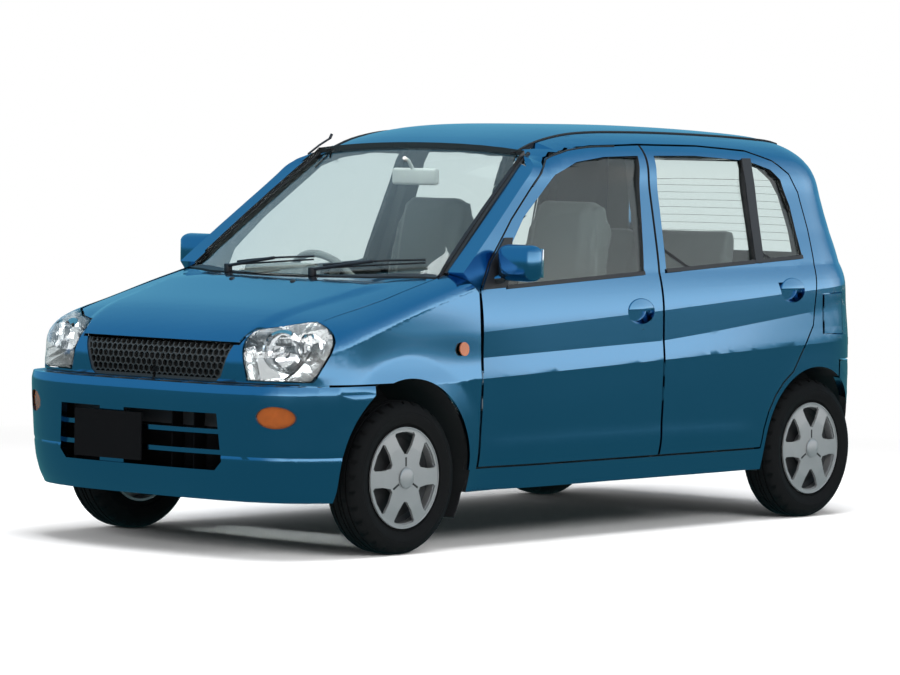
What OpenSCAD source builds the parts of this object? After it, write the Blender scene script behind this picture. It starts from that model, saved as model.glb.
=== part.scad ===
// Small five-door hatchback. +X forward, +Y to the car's left, +Z up, millimetres.
// The origin lies on the ground, midway along the car's length.

/* [Body] */
// Overall length over the bumpers
body_l = 3395; // [3375:5:3415]
// Overall width over the doors
body_w = 1475; // [1465:5:1490]
// Height of the roof's crown above the ground
roof_h = 1500; // [1490:2:1512]
// Distance between the axles
wheelbase = 2340; // [2330:2:2350]
// Nose of the bumper to the front axle
front_overhang = 612; // [604:2:620]

/* [Panels] */
// Depth of a door's outer layer and of the frame around it
skin_t = 25; // [22:1:27]
// Depth of a whole door below the belt
door_t = 70; // [60:1:78]
// Thickness of the bonnet and fender pressings
panel_t = 10; // [7:1:12]
// Thickness of the glass
glass_t = 5; // [4:0.5:7]
// Gap between two panels
shut_gap = 7; // [6:0.5:8]
// Gap at a door's hinged edge
hinge_gap = 12; // [11:0.5:13]

/* [Wheels] */
// Outer diameter of a tyre
tyre_d = 532; // [520:2:540]
// Width of a tyre
tyre_w = 155; // [145:1:160]
// Diameter of the rim's bead seat
rim_d = 334; // [326:2:340]
// Distance between the tyre centres of an axle
track = 1280; // [1268:2:1288]
// Diameter of a wheel cover
cover_d = 352; // [346:2:356]

/* [Cabin] */
// Diameter of the steering wheel's rim
helm_d = 370; // [350:2:385]
// Thickness of the steering wheel's rim
helm_rim = 28; // [24:1:34]
// Width of a front seat
seat_w = 470; // [440:5:485]
// Height of the seat cushions above the ground
seat_h = 560; // [545:5:575]

/* [Hidden] */
$fn = 64;

half_w = body_w / 2;
nose_x = body_l / 2;
tail_x = -body_l / 2;
axle_f = nose_x - front_overhang;
axle_r = axle_f - wheelbase;
axle_z = tyre_d / 2;
wheel_y = track / 2;
// Places on the reference body, moved with the nose, the tail, the flanks and the roof when those change
ref_nose = 1697.5;
ref_half = 737.5;
ref_roof = 1500;
nose_from = 850;
tail_from = -1270;
roof_from = 950;
function front(x) = x <= nose_from ? x
  : nose_from + (x - nose_from) * (nose_x - nose_from) / (ref_nose - nose_from);
function rear(x) = x >= tail_from ? x
  : tail_from + (x - tail_from) * (tail_x - tail_from) / (-ref_nose - tail_from);
function flank(y) = y + sign(y) * (half_w - ref_half);
function high(z) = z <= roof_from ? z
  : roof_from + (z - roof_from) * (roof_h - roof_from) / (ref_roof - roof_from);
function side_outline(p) = [for (q = p) [rear(front(q[0])), high(q[1])]];
function cross_outline(p) = [for (q = p) [flank(q[0]), high(q[1])]];
function along(t) = [for (q = t) [rear(front(q[0])), q[1]]];
function upward(t) = [for (q = t) [high(q[0]), q[1]]];
paint = [0.10, 0.36, 0.55];
dark = [0.08, 0.08, 0.09];
coated = [0.2, 0.21, 0.22];

// Smooth value through a short table of [place, value] pairs
function knot(t, x, i = 0) = (i >= len(t) - 2 || x < t[i + 1][0]) ? i : knot(t, x, i + 1);
function secant(t, a, b) = (t[b][1] - t[a][1]) / (t[b][0] - t[a][0]);
function tangent(t, i) = secant(t, max(0, i - 1), min(len(t) - 1, i + 1));
function curve(t, x) = let (
  i = knot(t, x),
  h = t[i + 1][0] - t[i][0],
  s = min(1, max(0, (x - t[i][0]) / h)),
  a = s * s * (3 - 2 * s))
  t[i][1] * (1 - a) + t[i + 1][1] * a
  + h * (tangent(t, i) * s * (1 - s) * (1 - s) - tangent(t, i + 1) * s * s * (1 - s));

// Section of the body side: inset from the widest point, below and above the crease
crease_z = 624;
crease_slope = 0.0385;
below_crease = [[180, 46], [250, 29], [330, 15], [480, 5], [crease_z, 0]];
above_crease = upward([[crease_z, 0], [680, 7], [780, 13], [880, 22], [950, 33], [1050, 56], [1200, 97],
  [1330, 139], [1450, 185]]);
function side_half(z) = half_w - (z < crease_z ? curve(below_crease, z) : curve(above_crease, z));
function rise(x) = -crease_slope * x;
function fade(z) = min(1, max(0, (z - 300) / 200)) * min(1, max(0, (1100 - z) / 300));

// Roof line, the height over which the roof rolls into the side, and the rear profile
roof_line = along([[-1500, -60], [-1395, -38], [-1200, -20], [-800, -4], [-400, 0], [-94, -10], [100, -45],
  [242, -98], [400, -192], [770, -425]]);
roof_roll_t = along([[-1500, 200], [-200, 200], [242, 100], [770, 60]]);
rear_inset = upward([[230, 57], [300, 17], [420, 0], [600, 7], [720, 25], [900, 47], [1000, 65], [1200,
  117],
  [1300, 145], [1480, 197]]);
rear_start = -1200;
corner_x = rear(-1420);
function roof_c(x) = roof_h + curve(roof_line, x);
function roof_roll(x) = curve(roof_roll_t, x);
function rear_len(z) = rear_start - (tail_x + curve(rear_inset, z));
function rear_u(x, z) = max(0, (rear_start - x) / rear_len(z));
function roll_part(x, z) = pow(max(0, (z - roof_c(x) + roof_roll(x)) / roof_roll(x)), 2.5);
function cabin_w(x, z) = side_half(min(z, roof_c(x) - roof_roll(x)));
function side_pt(x, z, d) = let (
  xr = min(x, screen_top_x),
  q = min(0.999, roll_part(xr, z) + pow(rear_u(x, z), 3.2)))
  [x, cabin_w(xr, z) * pow(1 - q, 0.25) - d, z + rise(x) * fade(z)];
function roof_pt(x, y, d) = let (
  zs = roof_c(x) - roof_roll(x),
  q = min(0.999, pow(abs(y) / side_half(zs), 4) + pow(rear_u(x, high(1440)), 3.2)))
  [x, y, zs + roof_roll(x) * pow(1 - q, 0.4) - d];
function rear_pt(y, z, d) = let (
  q = min(0.9999, pow(abs(y) / cabin_w(corner_x, z), 4) + roll_part(corner_x, z)))
  [rear_start - rear_len(z) * pow(1 - q, 1 / 3.2) + d, y, z];

// Bonnet line and the nose behind the bumper
hood_line = along([[600, 1040], [850, 975], [1000, 938], [1200, 888], [1400, 840], [1500, 812], [1600,
  788]]);
hood_roll_t = along([[700, 100], [1000, 100], [1600, 140]]);
nose_start = axle_f + 185;
nose_set = 92;
nose_len = nose_x - nose_set - nose_start;
function hood_c(x) = curve(hood_line, x);
function hood_s(x) = hood_c(x) - curve(hood_roll_t, x);
front_rows = concat(
  [for (x = steps(706, nose_start, 6)) [x, 0]],
  [for (u = [0.18, 0.36, 0.52, 0.66, 0.78, 0.88, 0.95, 0.985, 0.997, 0.9996, 0.9999999])
    [nose_start + u * nose_len, u]]);
front_cols = [200, 300, 400, 520, crease_z, -1, -2];
rolls = [12, 24, 36, 48, 60, 72, 82];
function front_pt(r, c, t) = let (
  zs = hood_s(r[0]),
  z = c == -1 ? (crease_z + zs) / 2 : c == -2 ? zs : c,
  up = z <= crease_z ? fade(z) : (zs - z) / (zs - crease_z),
  w = pow(1 - pow(r[1], 3.2), 1 / 3.2))
  [r[0] - t * r[1], (side_half(z) - t) * w, z + rise(r[0]) * up];
function hood_pt(r, a, t) = let (
  zs = hood_s(r[0]),
  q = 1 - pow(r[1], 3.2))
  [r[0] - t * r[1], (side_half(zs) - t) * pow(q, 1 / 3.2) * pow(cos(a), 2 / 3.2),
    zs + (curve(hood_roll_t, r[0]) - t) * pow(q, 1 / 2.6) * pow(sin(a), 2 / 2.6)];
function front_rib(r, t) = concat([for (c = front_cols) front_pt(r, c, t)], [for (a = rolls) hood_pt(r,
  a, t)]);
function flip(p) = [p[0], -p[1], p[2]];
function front_arch(r, t, n) = let (
  s = [for (i = [n : len(front_cols) + len(rolls) - 1]) front_rib(r, t)[i]])
  concat(s, [hood_pt(r, 90, t)], [for (i = [len(s) - 1 : -1 : 0]) flip(s[i])]);

// Solid between two grids of points that have the same rows and columns
module grid_solid(a, b) {
  n = len(a);
  m = len(a[0]);
  k = n * m;
  rim = concat([for (j = [0 : m - 1]) j], [for (i = [1 : n - 1]) i * m + m - 1],
    [for (j = [m - 2 : -1 : 0]) (n - 1) * m + j], [for (i = [n - 2 : -1 : 1]) i * m]);
  polyhedron(concat([for (r = a) each r], [for (r = b) each r]), concat(
    [for (i = [0 : n - 2], j = [0 : m - 2]) [i * m + j, (i + 1) * m + j + 1, i * m + j + 1]],
    [for (i = [0 : n - 2], j = [0 : m - 2]) [i * m + j, (i + 1) * m + j, (i + 1) * m + j + 1]],
    [for (i = [0 : n - 2], j = [0 : m - 2]) [k + i * m + j, k + i * m + j + 1, k + (i + 1) * m + j + 1]],
    [for (i = [0 : n - 2], j = [0 : m - 2]) [k + i * m + j, k + (i + 1) * m + j + 1, k + (i + 1) * m + j]],
    [for (i = [0 : len(rim) - 1]) let (p = rim[i], q = rim[(i + 1) % len(rim)]) [p, q, k + q]],
    [for (i = [0 : len(rim) - 1]) let (p = rim[i], q = rim[(i + 1) % len(rim)]) [p, k + q, k + p]]));
}

function steps(a, b, n) = [for (i = [0 : n]) a + (b - a) * i / n];
side_z = [for (z = [180, 240, 330, 440, 540, crease_z, 680, 780, 880, 950, 1050, 1150, 1250, 1300,
  1340, 1375,
  1400, 1425, 1445, 1460, 1475]) high(z)];

// Layer of the left body side between two depths
module side_layer(xs, d0, d1, zs = side_z) {
  grid_solid([for (x = xs) [for (z = zs) side_pt(x, z, d0)]], [for (x = xs) [for (z = zs) side_pt(x, z,
    d1)]]);
}

// Outlines pushed through the car along Y, X and Z
module side_prism(y0 = 0, y1 = 950) {
  translate([0, y1, 0]) rotate([90, 0, 0]) linear_extrude(y1 - y0) children();
}
module rear_prism(x0, x1) {
  translate([x0, 0, 0]) rotate([90, 0, 90]) linear_extrude(x1 - x0) children();
}
module both() {
  children();
  mirror([0, 1, 0]) children();
}
module right_side() {
  mirror([0, 1, 0]) children();
}

// Door outlines seen from the left
belt_slope = 0.0512;
function belt(x) = 932 - belt_slope * x;
split_x = -303;
door_front_x = 704;
door_low = 285;
split_top = 1421;
arch_rear = [axle_r - 3, 274, 308];
arch_front = [axle_f + 4, 280, 330];
arch_lip = 28;
front_door = side_outline([[door_front_x, door_low], [door_front_x, 905], [640, 1000], [480, 1150],
  [204, 1365],
  [70, 1398], [-75, 1412], [split_x - 49 + hinge_gap / 2, split_top], [split_x + hinge_gap / 2, 954],
  [split_x + hinge_gap / 2, door_low]]);
rear_arc = [for (a = [2 : 12 : 62]) [arch_rear[0] + (arch_rear[2] + arch_lip) * cos(a),
  arch_rear[1] + (arch_rear[2] + arch_lip) * sin(a)]];
rear_door = concat(side_outline([[split_x - hinge_gap / 2, door_low], [split_x - hinge_gap / 2, 954],
  [split_x - 49 - hinge_gap / 2, split_top], [-700, 1420], [-985, 1404], [-1120, 1368], [-1200, 1318],
  [-1243, 1250], [-1262, 1107], [-1258, 985], [-1222, 744]]), [for (i = [5 : -1 : 0]) rear_arc[i]],
  [[-870, door_low]]);
// Rows where the roof rail bends down into the windscreen pillar
pillar_x = steps(-110, 290, 5);
front_window = side_outline([[560, belt(560) + 14], [520, 1050], [412, 1160], [195, 1310], [60, 1356],
  [-100, 1377],
  [-303, 1383], [-213, belt(-213) + 14]]);
rear_window = side_outline([[-345, belt(-345) + 14], [-398, 1384], [-650, 1386], [-930, 1372], [-890,
  belt(-890) + 14]]);
quarter_light = side_outline([[-935, belt(-935) + 14], [-975, 1366], [-1090, 1338], [-1145, 1299],
  [-1178, 1200],
  [-1192, belt(-1192) + 14]]);
inner_step = 42;
seal_step = 30;
sill_low = 205;
sill_y = flank(610);
jack_drop = 4;

module below_belt() {
  polygon([[900, 100], [900, belt(900) - 12], [-1400, belt(-1400) - 12], [-1400, 100]]);
}

// Hinge of a door: a barrel on the door turns on a pin that two ears carry from the pillar
hinge_y = half_w - 8;
hinge_z = [510, 600];
barrel_r = 4.4;
pin_r = 2.4;
pin_play = 0.1;
barrel_h = 34;
ear_h = 8;
module hinge_barrels(x) {
  for (z = hinge_z) translate([x, hinge_y, z]) {
    difference() {
      union() {
        cylinder(h = barrel_h, r = barrel_r, center = true);
        translate([-12, -3, -barrel_h / 2]) cube([12, 6, barrel_h]);
      }
      cylinder(h = barrel_h + 2, r = pin_r + pin_play, center = true);
    }
  }
}
module hinge_ears(x) {
  for (z = hinge_z) translate([x, hinge_y, z]) {
    cylinder(h = barrel_h + 2 * ear_h + 1, r = pin_r, center = true);
    for (s = [-1, 1]) translate([-2, -36, s * (barrel_h / 2 + ear_h / 2 + 0.5) - ear_h / 2])
      cube([4, 38, ear_h]);
  }
}
front_hinge_x = door_front_x + hinge_gap / 2;
handle_w = 150;
handle_h = 92;
bowl_d = 14;
module handle_bowl(x, z) {
  translate([x, half_w - 22 - bowl_d, z]) rotate([-90, 0, 0]) scale([handle_w / handle_h, 1, 1])
    cylinder(h = 60, r1 = handle_h / 2 - 8, r2 = handle_h / 2 + 20);
}
module handle_grip(x, z) {
  translate([x - handle_w / 2, half_w - 34, z]) cube([handle_w, 10, 34]);
}

module door_shell(outline, xs, hx, handle) {
  difference() {
    union() {
      intersection() {
        side_layer(xs, 0, skin_t);
        side_prism() polygon(outline);
      }
      intersection() {
        side_layer([xs[0], (xs[0] + xs[len(xs) - 1]) / 2, xs[len(xs) - 1]], skin_t - 5, door_t, [180,
          330, 480, crease_z, 780, 950, 1050]);
        side_prism() intersection() {
          offset(delta = -inner_step) polygon(outline);
          below_belt();
        }
      }
    }
    handle_bowl(handle[0], handle[1]);
    children();
  }
  handle_grip(handle[0], handle[1] - 2);
  hinge_barrels(hx);
}
module front_door_shell() {
  door_shell(front_door, concat([-380, -220], pillar_x, steps(410, 720, 2)), front_hinge_x, [-171, 818])
    side_prism() polygon(front_window);
}
module rear_door_shell() {
  door_shell(rear_door, steps(-1290, -300, 7), split_x, [-1095, 880]) side_prism() {
    polygon(rear_window);
    polygon(quarter_light);
  }
}
module pane(x0, x1) {
  intersection() {
    side_layer(steps(x0, x1, 5), 8, 8 + glass_t, [for (z = [880, 950, 1050, 1150, 1250, 1300, 1340,
      1375, 1400]) high(z)]);
    side_prism() children();
  }
}
module door_fl() { color(paint) front_door_shell(); }
module door_fr() { color(paint) right_side() front_door_shell(); }
module door_rl() { color(paint) rear_door_shell(); }
module door_rr() { color(paint) right_side() rear_door_shell(); }
module front_pane() { pane(-340, 600) polygon(front_window); }
module rear_pane() {
  pane(-1230, -320) {
    polygon(rear_window);
    polygon(quarter_light);
  }
}
module glass_fl() { color([0.3, 0.4, 0.42, 0.5]) front_pane(); }
module glass_fr() { color([0.3, 0.4, 0.42, 0.5]) right_side() front_pane(); }
module glass_rl() { color([0.3, 0.4, 0.42, 0.5]) rear_pane(); }
module glass_rr() { color([0.3, 0.4, 0.42, 0.5]) right_side() rear_pane(); }

// Windscreen, bowed in plan and raked
screen_base = [954, 955];
screen_rake = (screen_base[0] - 242) / (high(1401) - screen_base[1]);
screen_top_x = 238;
screen_bow = upward([[900, 158], [955, 150], [1380, 55], [1450, 50]]);
function screen_pt(y, z, d) = [screen_base[0] - (z - screen_base[1]) * screen_rake
  - curve(screen_bow, z) * pow(abs(y) / flank(600), 2.2) - d, y, z];
screen_edge = cross_outline([[-618, 925], [-505, 1392], [-400, 1450], [400, 1450], [505, 1392], [618,
  925]]);
module screen_layer(d0, d1) {
  ys = steps(flank(700), flank(-700), 14);
  zs = steps(900, high(1440), 6);
  grid_solid([for (y = ys) [for (z = zs) screen_pt(y, z, d0)]],
    [for (y = ys) [for (z = zs) screen_pt(y, z, d1)]]);
}
cowl_y = flank(620);
cowl_gap = 17;
module windscreen() {
  color([0.3, 0.4, 0.42, 0.5]) intersection() {
    screen_layer(0, glass_t * 1.9);
    rear_prism(screen_top_x, 1100) polygon(screen_edge);
    translate([0, 0, 500 + screen_base[1] - 10]) cube([3000, 2000, 1000], center = true);
  }
}

// Bonnet outline in plan
bonnet_rear = [for (q = [[842, 611], [884, 545], [948, 400], [994, 200], [1008, 0]]) [front(q[0]),
  flank(q[1])]];
bonnet_left = concat([for (i = [4 : -1 : 0]) bonnet_rear[i]],
  [for (q = [[1100, 615], [1385, 592], [1470, 490], [1508, 405], [1580, 372], [1592, 250], [1594, 0]])
    [front(q[0]), flank(q[1])]]);
bonnet_plan = concat(bonnet_left, [for (i = [len(bonnet_left) - 2 : -1 : 1]) [bonnet_left[i][0],
  -bonnet_left[i][1]]]);
bonnet_low = 728;
module bonnet_prism(g) {
  translate([0, 0, bonnet_low - g]) linear_extrude(600) offset(delta = g) polygon(bonnet_plan);
}
bonnet_hinge = [728, 896];
module front_shell(t0, t1, n, i0 = 0) {
  rows = [for (i = [i0 : len(front_rows) - 1]) front_rows[i]];
  grid_solid([for (r = rows) front_arch(r, t0, n)], [for (r = rows) front_arch(r, t1, n)]);
}
strap_y = 520;
strap_w = 40;
strap_t = 14;
strap_reach = 205;
strap_rise = hood_z(bonnet_hinge[0] + strap_reach, strap_y + strap_w / 2) - bonnet_hinge[1] - 5;
// Bends of the gooseneck hinge arm from its pin, in X and Z, under the cowl and up to the bonnet
strap_bends = [[0, 0], [118, -140], [196, -60], [strap_reach, strap_rise]];
module strap_arm() {
  for (i = [0 : len(strap_bends) - 2]) {
    a = strap_bends[i];
    run = strap_bends[i + 1] - a;
    translate([a[0], a[1]]) rotate(atan2(run[1], run[0])) translate([0,
      -strap_t / 2]) square([norm(run), strap_t]);
    if (i > 0) translate([a[0], a[1]]) circle(d = strap_t);
  }
}
module bonnet() {
  color(paint) {
    intersection() {
      front_shell(0, panel_t, 7);
      bonnet_prism(0);
    }
    both() translate([bonnet_hinge[0], strap_y, bonnet_hinge[1]]) difference() {
      union() {
        rotate([90, 0, 0]) cylinder(h = strap_w, r = 11, center = true);
        rotate([90, 0, 0]) linear_extrude(strap_w, center = true) strap_arm();
      }
      rotate([90, 0, 0]) cylinder(h = strap_w + 2, r = 6 + pin_play, center = true);
    }
  }
}
module cowl_panel() {
  color(dark) difference() {
    intersection() {
      front_shell(2, 14, 8);
      translate([700, -cowl_y, 800]) cube([320, 2 * cowl_y, 300]);
    }
    bonnet_prism(cowl_gap);
    screen_layer(-0.01, 500);
    side_post_prism(2);
  }
}
module side_post_prism(g) {
  both() side_prism() offset(delta = g) polygon([[500, 896], [712, 896], [786, 968], [500, 1200]]);
}
lamp_low = 606;
lamp_line = side_outline([[1398, 812], [1500, lamp_low], [1700, lamp_low], [1700, 900], [1398, 900]]);
bumper_top = 590;
module lamp_region(g) {
  intersection() {
    side_prism() offset(delta = g) polygon(lamp_line);
    rear_prism(front(1200), front(1750)) offset(delta = g)
      polygon(cross_outline([[432, lamp_low], [800, lamp_low], [800, 900], [395, 900], [398, 735]]));
  }
}
fender_rear = door_front_x + hinge_gap;
module fender_half() {
  difference() {
    intersection() {
      grid_solid([for (r = front_rows) front_rib(r, 0)], [for (r = front_rows) front_rib(r, panel_t)]);
      translate([fender_rear, flank(330), sill_low]) cube([front(1506) - fender_rear, 600, 900]);
    }
    bonnet_prism(shut_gap);
    side_prism() wheel_hole(arch_front);
    lamp_region(3);
    translate([axle_f, 0, 0]) cube([900, 900, bumper_top + shut_gap]);
    side_post_prism(2);
    translate([500, 0, 0]) cube([260, 900, door_low - shut_gap]);
    translate([500, 0, 700]) cube([500, cowl_y + 1, 500]);
  }
}
module wheel_hole(a) {
  translate([a[0], a[1]]) circle(r = a[2]);
  translate([a[0] - a[2], -50]) square([2 * a[2], a[1] + 50]);
}
module fender_left() { color(paint) fender_half(); }
module fender_right() { color(paint) right_side() fender_half(); }
module headlamps() {
  color([0.85, 0.88, 0.9]) both() difference() {
    intersection() {
      grid_solid([for (r = front_rows) front_rib(r, 2)], [for (r = front_rows) front_rib(r, 60)]);
      lamp_region(0);
    }
    bonnet_prism(shut_gap);
  }
}

// Front bumper, wrapped round the nose
bumper_in_x = [[195, 45], [230, 30], [300, 12], [420, 4], [562, 0], [bumper_top, 8]];
bumper_in_y = [[195, 44], [240, 27], [330, 13], [480, 4], [562, 0], [bumper_top, 3]];
bumper_z = [195, 230, 300, 420, 562, bumper_top];
bumper_t = 25;
wrap_a = [90, 78, 66, 56, 46, 36, 26, 16, 8, 3, 0, -3, -8, -16, -26, -36, -46, -56, -66, -78, -90];
function bow(s, n) = sign(s) * pow(abs(s), 2 / n);
function bumper_pt(a, z, t) = [
  nose_start + (nose_x - nose_start - curve(bumper_in_x, z) - t) * bow(cos(a), 3.2),
  (half_w - curve(bumper_in_y, z) - t) * bow(sin(a), 3.2), z];
module bumper_layer(t0, t1, z = bumper_z) {
  grid_solid([for (a = wrap_a) [for (h = z) bumper_pt(a, h, t0)]],
    [for (a = wrap_a) [for (h = z) bumper_pt(a, h, t1)]]);
}
intake = [[-395, 330], [-365, 299], [365, 299], [395, 330], [380, 493], [-380, 493]];
grille_low = 597;
grille_rim = [[-298, grille_low], [298, grille_low], [318, 612], [360, 724], [352, 735], [-352, 735],
  [-360, 724], [-318, 612]];
slat_z = [352, 422];
slat_h = 16;
stay_x = nose_x - 97;
stay_y = 300;
plate_y = -130;
plate_w = 330;
plate_h = 165;
plate_z = 396;
plate_x = nose_x - 7;
lamp_y = flank(588);
lamp_z = 486;
lamp_w = 118;
lamp_h = 76;
module oval() {
  translate([lamp_y, lamp_z]) scale([lamp_w / lamp_h, 1]) circle(d = lamp_h, $fn = 28);
}
module front_bumper() {
  color(paint) {
    difference() {
      bumper_layer(0, bumper_t);
      rear_prism(nose_start, nose_x + 10) polygon(intake);
      both() rear_prism(nose_start, nose_x + 10) oval();
      both() side_prism() wheel_hole(arch_front);
    }
    intersection() {
      bumper_layer(9, bumper_t, [300, bumper_top]);
      union() {
        for (z = slat_z) translate([nose_start, -400, z]) cube([500, 800, slat_h]);
        translate([nose_start, plate_y - 60, 290]) cube([500, 120, 210]);
      }
    }
    translate([plate_x - 30, plate_y - 45, plate_z - 40]) cube([30, 90, 80]);
    both() translate([stay_x, stay_y - 30, 505]) cube([80, 60, 50]);
    difference() {
      intersection() {
        translate([0, 0, bumper_top - 8]) linear_extrude(8)
          polygon([for (a = wrap_a) let (p = bumper_pt(a, bumper_top, 4)) [p[0], p[1]]]);
        translate([axle_f + 320, -900, 0]) cube([400, 1800, 700]);
      }
      translate([0, 0, bumper_top - 20]) linear_extrude(40) polygon(concat(
        [for (r = front_rows) let (p = front_pt(r, -2, 24)) [p[0], p[1]]],
        [for (i = [len(front_rows) - 1 : -1 : 0]) let (p = front_pt(front_rows[i], -2, 24)) [p[0],
          -p[1]]]));
      both() side_prism() wheel_hole(arch_front);
    }
    difference() {
      intersection() {
        front_shell(0, 20, 4, 9);
        translate([front(1480), -flank(428), bumper_top - 6]) cube([200, 2 * flank(428), 300]);
      }
      rear_prism(front(1400), front(1700)) polygon(grille_rim);
      bonnet_prism(shut_gap);
      both() lamp_region(3);
    }
  }
}
// Honeycomb pitch, and how many columns and rows of cells fill the rim
cell = 26;
cell_wall = 4;
cell_cols = 14;
cell_rows = 6;
module grille() {
  color(dark) intersection() {
    front_shell(4, 18, 4, 9);
    rear_prism(front(1400), front(1700)) difference() {
      polygon(grille_rim);
      intersection() {
        offset(delta = -9) polygon(grille_rim);
        for (i = [-cell_cols : cell_cols], j = [0 : cell_rows])
          translate([(i + (j % 2) / 2) * cell, grille_low + 6 + j * cell * 0.866])
          rotate(30) circle(d = (cell - cell_wall) * 1.155, $fn = 6);
      }
    }
    difference() {
      translate([front(1400), -500, 500]) cube([300, 1000, 400]);
      bonnet_prism(shut_gap);
    }
  }
}
module front_plate() {
  color(dark) translate([plate_x, plate_y - plate_w / 2, plate_z - plate_h / 2]) cube([6, plate_w,
    plate_h]);
}
repeater = [812, 704];
repeater_r = 24;
module indicator_lamps() {
  color([0.95, 0.6, 0.15]) both() {
    intersection() {
      bumper_layer(6, bumper_t - 3, [400, 486, 562]);
      rear_prism(nose_start, nose_x + 10) oval();
    }
    intersection() {
      grid_solid([for (r = front_rows) front_rib(r, -5)], [for (r = front_rows) front_rib(r, 0)]);
      side_prism() translate(repeater) circle(r = repeater_r, $fn = 24);
    }
  }
}

// Side frame: outer layer round the doors, inner layer with the pillars, and the sill beam
pillar_front = 752;
frame_t = 75;
layer_gap = 6;
foot = [712, 896];
roof_y = flank(460);
quarter_end = rear(-1413);
post_z = [for (z = [180, 330, 480, crease_z, 780, 950, 1050, 1150, 1250, 1340, 1400, 1440, 1475]) high(z)];
frame_x = concat([for (x = [-1650, -1625, -1600, -1570, -1535, -1490, -1430, -1350, -1260]) rear(x)],
  steps(-1150, -220, 4), pillar_x, steps(410, 790, 3));
frame_outer = side_outline([[pillar_front, sill_low], [pillar_front, door_low - shut_gap - 2], foot,
  [786, 968], [255, 1372], [238, 1520],
  [-1650, 1520], [-1650, 600 + shut_gap], [-1413, 600 + shut_gap], [-1413, 300], [-1000, sill_low]]);
frame_inner = side_outline([[pillar_front, sill_low], [pillar_front, foot[1] - 40], foot, [786, 968],
  [255, 1372], [238, 1520], [-1620, 1520],
  [-1620, 600 + shut_gap], [-1413, 600 + shut_gap], [-1413, 300], [-1000, sill_low]]);
tail_half = cross_outline([[0, 607], [556, 607], [568, 700], [572, 900], [556, 1000], [520, 1200],
  [486, 1330], [455, 1400], [440, 1428], [0, 1428]]);
tail_outline = concat(tail_half, [for (i = [len(tail_half) - 2 : -1 : 1]) [-tail_half[i][0],
  tail_half[i][1]]]);
tail_glass = cross_outline([[-470, 1010], [470, 1010], [462, 1060], [410, 1330], [380, 1362], [-380,
  1362], [-410, 1330], [-462, 1060]]);
flap = side_outline([[-1299, 710], [-1299, 860], [-1438, 862], [-1438, 706]]);
flap_hinge_x = rear(-1295);
flap_y = side_pt(flap_hinge_x, 735, 0)[1] - 4;
flap_z = 784;
lamp_top_r = 881;
lamp_low_r = 658;
module tail_lamp_region(g) {
  intersection() {
    side_prism() offset(delta = g)
      polygon(side_outline([[-1552, lamp_low_r], [-1556, lamp_top_r], [-1750, lamp_top_r], [-1750,
        lamp_low_r]]));
    rear_prism(rear(-1750), rear(-1400)) offset(delta = g)
      polygon(cross_outline([[582, 600], [590, 900], [800, 900], [800, 600]]));
  }
}
module side_frame() {
  difference() {
    union() {
      intersection() {
        side_layer(frame_x, 0, skin_t + layer_gap);
        side_prism() difference() {
          polygon(frame_outer);
          offset(delta = shut_gap) polygon(rear_door);
          offset(delta = shut_gap) polygon(front_door);
          polygon([[820, door_low - shut_gap], [820, foot[1]], [500, foot[1]], [500, door_low - shut_gap]]);
        }
      }
      intersection() {
        side_layer(frame_x, skin_t + layer_gap - 1, frame_t, post_z);
        side_prism() difference() {
          polygon(frame_inner);
          offset(delta = -seal_step) polygon(front_door);
          offset(delta = -seal_step) polygon(rear_door);
        }
      }
      translate([-950, sill_y, sill_low - jack_drop]) cube([pillar_front + 950, 75,
        door_low - shut_gap - sill_low + jack_drop - 4]);
      hinge_ears(front_hinge_x);
      hinge_ears(split_x);
    }
    side_prism() wheel_hole(arch_rear);
    side_prism() wheel_hole(arch_front);
    rear_prism(rear(-1800), rear(-1350)) offset(delta = shut_gap) polygon(tail_outline);
    rear_prism(screen_top_x, 1100) polygon(screen_edge);
    translate([rear(-1800), -roof_y, high(1200)]) cube([800 - rear(-1800), 2 * roof_y, 400]);
    tail_lamp_region(0);
  }
}
module side_frame_left() {
  color(paint) {
    difference() {
      side_frame();
      side_prism(600, 900) {
        offset(delta = 4) polygon(flap);
        translate([flap_hinge_x - 15, 708]) square([24, 154]);
      }
    }
    intersection() {
      side_layer(steps(rear(-1470), rear(-1270), 3), 22, 40, [600, 680, 780, 880, 950]);
      side_prism() offset(delta = 5) polygon(flap);
    }
    translate([flap_hinge_x, flap_y, flap_z]) {
      cylinder(h = 60, r = 1.5, center = true);
      for (s = [-27, 27]) translate([-1.5, -22, s - 3]) cube([3, 22, 6]);
    }
  }
}
module side_frame_right() { color(paint) right_side() side_frame(); }
module fuel_flap() {
  color(paint) {
    intersection() {
      side_layer(steps(rear(-1470), rear(-1270), 3), 0, 8, [600, 680, 780, 880, 950]);
      side_prism() polygon(flap);
    }
    translate([flap_hinge_x, flap_y, flap_z]) difference() {
      union() {
        cylinder(h = 44, r = 3, center = true);
        translate([-8, -2, -22]) cube([8, 4, 44]);
      }
      cylinder(h = 50, r = 1.6, center = true);
    }
  }
}
roof_t = 14;
roof_rear = rear(-1384);
lid_hinge = [roof_rear - 10, high(1437)];
lid_y = 300;
lid_t = 26;
module lid_barrels() {
  both() translate([lid_hinge[0], lid_y, lid_hinge[1]]) rotate([90, 0, 0]) children();
}
module roof_layer(d0, d1) {
  xs = steps(roof_rear, screen_top_x, 16);
  ys = steps(roof_y, -roof_y, 14);
  grid_solid([for (x = xs) [for (y = ys) roof_pt(x, y, d0)]], [for (x = xs) [for (y = ys) roof_pt(x, y,
    d1)]]);
}
module roof_panel() {
  color(paint) {
    roof_layer(0, roof_t);
    lid_barrels() cylinder(h = 90, r = 3, center = true);
    both() for (s = [-38, 38]) translate([lid_hinge[0], lid_y + s - 4, lid_hinge[1] - 3]) cube([22, 8, 6]);
  }
}

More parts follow.
